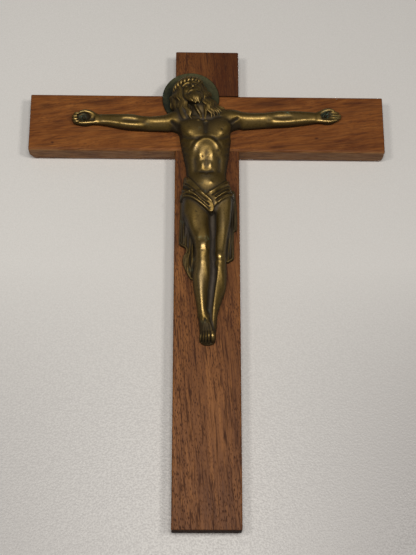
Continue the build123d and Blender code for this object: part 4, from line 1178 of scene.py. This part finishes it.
def brass(name, dark, mid, high, rough, cavity=True, green=0.5, disc=None):
    """Patinated cast brass: dark in the recesses, rubbed on the high places; the rub attribute and the plate's rings
    also paint highlights and shade into the colour.
    """
    n = Nodes(name)
    obj = n.new("TexCoord").outputs["Object"]
    cloud = n.noise(obj, 110.0, 4.0, 0.62)
    blotch = n.noise(obj, 330.0, 3.0, 0.6)
    speck = n.noise(obj, 1000.0, 3.0, 0.6)
    grit = n.noise(obj, 2600.0, 2.0, 0.5)
    bloom = None
    if cavity:
        fine = n.new("Attribute", attribute_name="fine").outputs["Fac"]
        wide = n.new("Attribute", attribute_name="wide").outputs["Fac"]
        rub_and_painted_light = n.new("Attribute", attribute_name="rub_and_painted_light").outputs["Fac"]
        bloom = n.new("Attribute", attribute_name="bloom").outputs["Fac"]
        grey_patch = n.new("Attribute", attribute_name="grey_patch").outputs["Fac"]
        # dark patina in the hollows; the negative rub adds painted shade to it
        dark_patina_and_painted_shade = n.span(n.math("ADD", n.math("MULTIPLY", fine, 0.5), n.math("MULTIPLY", wide, 0.5)), 0.445, 0.575)
        # crests and rubbed places grow brighter: wear, with painted highlights from the rub
        crest_and_painted_highlight = n.span(n.math("ADD", n.math("MULTIPLY", fine, 0.6), n.math("MULTIPLY", wide, 0.4)), 0.46, 0.34, 0.0, 0.75)
        crest_and_painted_highlight = n.math("ADD", crest_and_painted_highlight, rub_and_painted_light)
        # painted shade where the rub is negative: the sides, armpits, palms and low near the wood
        dirt_and_painted_shade = n.span(rub_and_painted_light, -0.15, -1.1, 0.0, 0.85)
        dark_patina_and_painted_shade = n.math("ADD", n.math("SUBTRACT", dark_patina_and_painted_shade, n.span(rub_and_painted_light, 0.0, 1.0, 0.0, 0.25)), dirt_and_painted_shade, clamp=True)
    elif disc:
        # a plate: painted shade round its middle and on the left, where the head and hair stand over it, and painted
        # light towards the rim and upwards (x, z, inner, outer radius)
        at = n.mapping(obj, loc=(-disc[0] * MM, 0, -disc[1] * MM), scale=(1, 0, 1))
        away = n.new("VectorMath", operation="LENGTH", ins={0: at}).outputs["Value"]
        high_up = n.new("SeparateXYZ", ins={0: at})
        ring = n.math("ADD", n.span(away, disc[2] * MM, disc[3] * MM, 0.0, 0.55), n.span(high_up.outputs["Z"], -0.004, 0.017, 0.0, 0.55))
        ring = n.math("ADD", ring, n.span(high_up.outputs["X"], -0.010, 0.016, -0.20, 0.20))
        crest_and_painted_highlight = n.math("MULTIPLY", ring, 0.9)
        dark_patina_and_painted_shade = n.math("MULTIPLY", n.span(away, disc[2] * MM, disc[3] * MM, 0.65, 0.0), n.span(cloud, 0.30, 0.60, 1.0, 0.4))
        left = n.math("MULTIPLY", n.span(high_up.outputs["X"], 0.0, -0.010), n.span(high_up.outputs["Z"], 0.014, 0.004))
        dark_patina_and_painted_shade = n.math("ADD", dark_patina_and_painted_shade, n.math("MULTIPLY", left, n.span(blotch, 0.35, 0.62, 1.0, 0.40)), clamp=True)
    else:
        dark_patina_and_painted_shade = n.span(cloud, 0.55, 0.75)
        crest_and_painted_highlight = n.span(cloud, 0.45, 0.25)
    grain = n.math("ADD", n.math("MULTIPLY", n.math("SUBTRACT", cloud, 0.5), 0.9), n.math("MULTIPLY", n.math("SUBTRACT", blotch, 0.5), 0.9))
    wear_and_painted_highlight = n.math("ADD", crest_and_painted_highlight, grain, clamp=True)
    # bright brass where worn, which also paints the highlights
    col = n.mix(wear_and_painted_highlight, mid, high)
    if cavity:
        # pale tint on strongly rubbed places: worn brass with a painted highlight colour
        col = n.mix(n.span(rub_and_painted_light, 0.45, 0.95, 0.0, 0.48), col, (0.330, 0.248, 0.138, 1))
    col = n.mix(n.math("MULTIPLY", n.span(speck, 0.50, 0.70), 0.45), col, dark)
    col = n.mix(n.math("MULTIPLY", dark_patina_and_painted_shade, 0.90), col, dark)
    verdigris = n.math("MULTIPLY", n.span(n.noise(obj, 240.0, 3.0, 0.65), 0.62, 0.72), green)
    verdigris = n.math("MULTIPLY", verdigris, n.math("ADD", n.math("MULTIPLY", dark_patina_and_painted_shade, 0.8), 0.12))
    col = n.mix(verdigris, col, (0.045, 0.075, 0.050, 1))
    if bloom:
        fresh = n.math("MULTIPLY", bloom, n.span(n.noise(obj, 800.0, 3.0, 0.6), 0.46, 0.62), clamp=True)
        col = n.mix(fresh, col, (0.070, 0.150, 0.105, 1))
        verdigris = n.math("MAXIMUM", verdigris, fresh)
        # grey patches laid in the hollows
        grey_patch_mix = n.math("MULTIPLY", grey_patch, n.span(blotch, 0.30, 0.60, 0.45, 0.90), clamp=True)
        col = n.mix(grey_patch_mix, col, (0.086, 0.069, 0.056, 1))
        verdigris = n.math("MAXIMUM", verdigris, grey_patch_mix)
    r = n.math("ADD", n.math("MULTIPLY", dark_patina_and_painted_shade, 0.22), n.math("MULTIPLY", speck, 0.14))
    r = n.math("ADD", r, n.math("MULTIPLY", n.math("SUBTRACT", 1.0, wear_and_painted_highlight), 0.15))
    r = n.math("ADD", r, n.math("MULTIPLY", verdigris, 0.3))
    r = n.math("ADD", r, rough)
    height = n.math("ADD", n.math("MULTIPLY", grit, 0.5), n.math("MULTIPLY", speck, 1.0))
    bump = n.new("Bump", ins={"Strength": 0.16, "Distance": 0.0002, "Height": height})
    metal = n.span(n.math("ADD", n.math("MULTIPLY", dark_patina_and_painted_shade, 0.55), verdigris), 0.0, 1.0, 0.97, 0.32)
    b = n.new("BsdfPrincipled", ins={"Base Color": col, "Roughness": r, "Metallic": metal, "Normal": bump.outputs[0]})
    n.t.links.new(b.outputs[0], n.out.inputs[0])
    return n.mat


def assign(ob, mat):
    ob.data.materials.clear()
    ob.data.materials.append(mat)


UPRIGHT_TONES = [(0.062, 0.0195, 0.0048), (0.106, 0.0370, 0.0092), (0.149, 0.0550, 0.0142), (0.204, 0.0795, 0.0215)]
BAR_TONES = [(0.066, 0.0165, 0.0036), (0.128, 0.0395, 0.0075), (0.176, 0.0590, 0.0115), (0.228, 0.0830, 0.0170)]
assign(
    nodes["upright"],
    wood("wood_upright", "Z", np.radians(5.0), 0.31, 0.80, 0.38, UPRIGHT_TONES, 0.20, heartwood_and_shade=((-0.012, 0.012, 0.45, 1.0), (-0.150, -0.010), 0.66)),
)
assign(
    nodes["crossbar"],
    wood(
        "wood_crossbar", "X", np.radians(6.0), 1.77, 0.34, 0.50, BAR_TONES, 0.62,
        spots=((68.7, -40.5, 1.6, 0.8, 0.9), (-96.5, -45.1, 1.2, 0.9, 0.8), (-101.8, -19.6, 5.0, 2.2, 0.5), (-70.3, -16.7, 14.0, 2.6, 0.45), (38.6, -16.8, 14.0, 3.2, 0.5), (45.0, -47.1, 8.0, 1.4, 0.4)),
        heartwood_and_shade=((0.010, 0.060), (-0.200, -0.100), 0.13),
    ),
)

BRASS_DARK = (0.0150, 0.0102, 0.0044, 1)
BRASS_MID = (0.146, 0.0950, 0.0262, 1)
BRASS_HIGH = (0.268, 0.183, 0.0670, 1)
mat_corpus = brass("corpus_brass", BRASS_DARK, BRASS_MID, BRASS_HIGH, 0.26)
assign(nodes["nimbus"], brass("nimbus_brass", (0.0062, 0.0080, 0.0052, 1), (0.0235, 0.0265, 0.0140, 1), (0.078, 0.075, 0.0370, 1), 0.40, cavity=False, green=1.0, disc=(-10.3, -14.3, 9.0, 17.5)))
mat_nail = brass("nail_brass", BRASS_DARK, (0.034, 0.028, 0.015, 1), (0.080, 0.066, 0.034, 1), 0.42, cavity=False)
for key in ("hand_nails", "foot_nail", "nimbus_pin", "hanger_screws"):
    assign(nodes[key], mat_nail)
assign(nodes["hanger_plate"], brass("hanger_brass", (0.10, 0.07, 0.03, 1), (0.45, 0.31, 0.12, 1), (0.66, 0.49, 0.22, 1), 0.24, cavity=False, green=0.2))
mat_steel = brass("screw_steel", (0.10, 0.095, 0.09, 1), (0.36, 0.35, 0.34, 1), (0.62, 0.61, 0.60, 1), 0.26, cavity=False, green=0.0)
for key in ("lap_screws", "corpus_screws"):
    assign(nodes[key], mat_steel)

clay = sculpt()
corpus = make_mesh(clay, "corpus_figure")
assign(corpus, mat_corpus)
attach(corpus, "root")
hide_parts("corpus")


# =====================================================================
# Stage and light
# =====================================================================
def make_stage():
    me = bpy.data.meshes.new("table_top")
    s, y = 2.0, 0.0020  # the hanger's screw heads keep the back a little off the sheet
    me.from_pydata([(-s, y, -s), (s, y, -s), (s, y, s), (-s, y, s)], [], [(0, 1, 2, 3)])
    ob = bpy.data.objects.new("table_top", me)
    bpy.context.scene.collection.objects.link(ob)
    n = Nodes("table_top")
    obj = n.new("TexCoord").outputs["Object"]
    speck = n.noise(obj, 1600.0, 2.0, 0.6)
    col = n.ramp(speck, [(0.35, (0.565, 0.560, 0.545)), (0.65, (0.615, 0.610, 0.595))])
    sep = n.new("SeparateXYZ", ins={0: obj})
    # painted shade: the sheet darkens towards the bottom, more at its lower corners and to the right
    low = n.span(sep.outputs["Z"], -0.12, -0.30)
    aside = n.span(n.math("ABSOLUTE", sep.outputs["X"]), 0.02, 0.15)
    shade = n.math("ADD", n.math("MULTIPLY", low, 0.16), n.math("MULTIPLY", n.math("MULTIPLY", low, aside), 0.58))
    shade = n.math("ADD", shade, n.span(sep.outputs["X"], -0.12, 0.16, 0.10, 0.26))
    shade = n.math("ADD", shade, n.math("MULTIPLY", low, n.span(sep.outputs["X"], 0.02, 0.15, 0.0, 0.34)))
    col = n.mix(shade, col, (0.28, 0.272, 0.270, 1))
    # painted glints: lighter grains of sheen towards the bottom
    glint = n.noise(obj, 900.0, 1.0, 0.5)
    col = n.mix(n.math("MULTIPLY", low, n.span(glint, 0.38, 0.62, 0.0, 0.80)), col, (0.36, 0.352, 0.348, 1))
    bump = n.new("Bump", ins={"Strength": n.span(low, 0.0, 1.0, 0.25, 0.60), "Distance": 0.0003, "Height": glint})
    b = n.new("BsdfPrincipled", ins={"Base Color": col, "Normal": bump.outputs[0]})
    b.inputs["Roughness"].default_value = 0.34
    b.inputs["IOR"].default_value = 1.45
    b.inputs["Specular IOR Level"].default_value = 0.30
    # the sheet is seen from its front only, so that the back of the cross shows
    geo = n.new("NewGeometry")
    clear = n.new("BsdfTransparent")
    mix = n.new("MixShader", ins={0: geo.outputs["Backfacing"], 1: b.outputs[0], 2: clear.outputs[0]})
    n.t.links.new(mix.outputs[0], n.out.inputs[0])
    ob.data.materials.append(n.mat)
    ob.visible_shadow = False  # the lamp behind reaches the back of the cross
    return ob


table = make_stage()


def area(name, at, look, size, size_y, watts, colour=(1, 1, 1), mis=True):
    li = bpy.data.lights.new(name, "AREA")
    li.shape = "RECTANGLE"
    li.size, li.size_y = size, size_y
    li.energy = watts
    li.color = colour
    ob = bpy.data.objects.new(name, li)
    bpy.context.scene.collection.objects.link(ob)
    ob.location = at
    ob.rotation_euler = (Vector(look) - Vector(at)).to_track_quat("-Z", "Y").to_euler()
    ob.visible_camera = False
    if not mis:
        li.cycles.use_multiple_importance_sampling = False
    return ob


LAMP = (1.0, 0.95, 0.885)
area("lamp_middle", (0.0, -1.0, -0.25), (0, 0, -0.14), 0.30, 0.26, 5.2, LAMP)
area("lamp_right", (0.43, -1.0, -0.25), (0, 0, -0.14), 0.16, 0.16, 3.6, LAMP)
area("lamp_left", (-0.40, -1.0, -0.25), (0, 0, -0.14), 0.16, 0.16, 2.9, LAMP)
area("behind", (0.3, 1.2, 0.5), (0, 0, -0.13), 0.9, 0.9, 16.0, (1.0, 0.97, 0.93), mis=False)

world = bpy.data.worlds.new("world")
bpy.context.scene.world = world
world.use_nodes = True
bg = world.node_tree.nodes["Background"]
bg.inputs[0].default_value = (0.93, 0.95, 1.0, 1)
bg.inputs[1].default_value = 0.15

view = bpy.context.scene.view_settings
view.view_transform = "Standard"
view.look = "None"
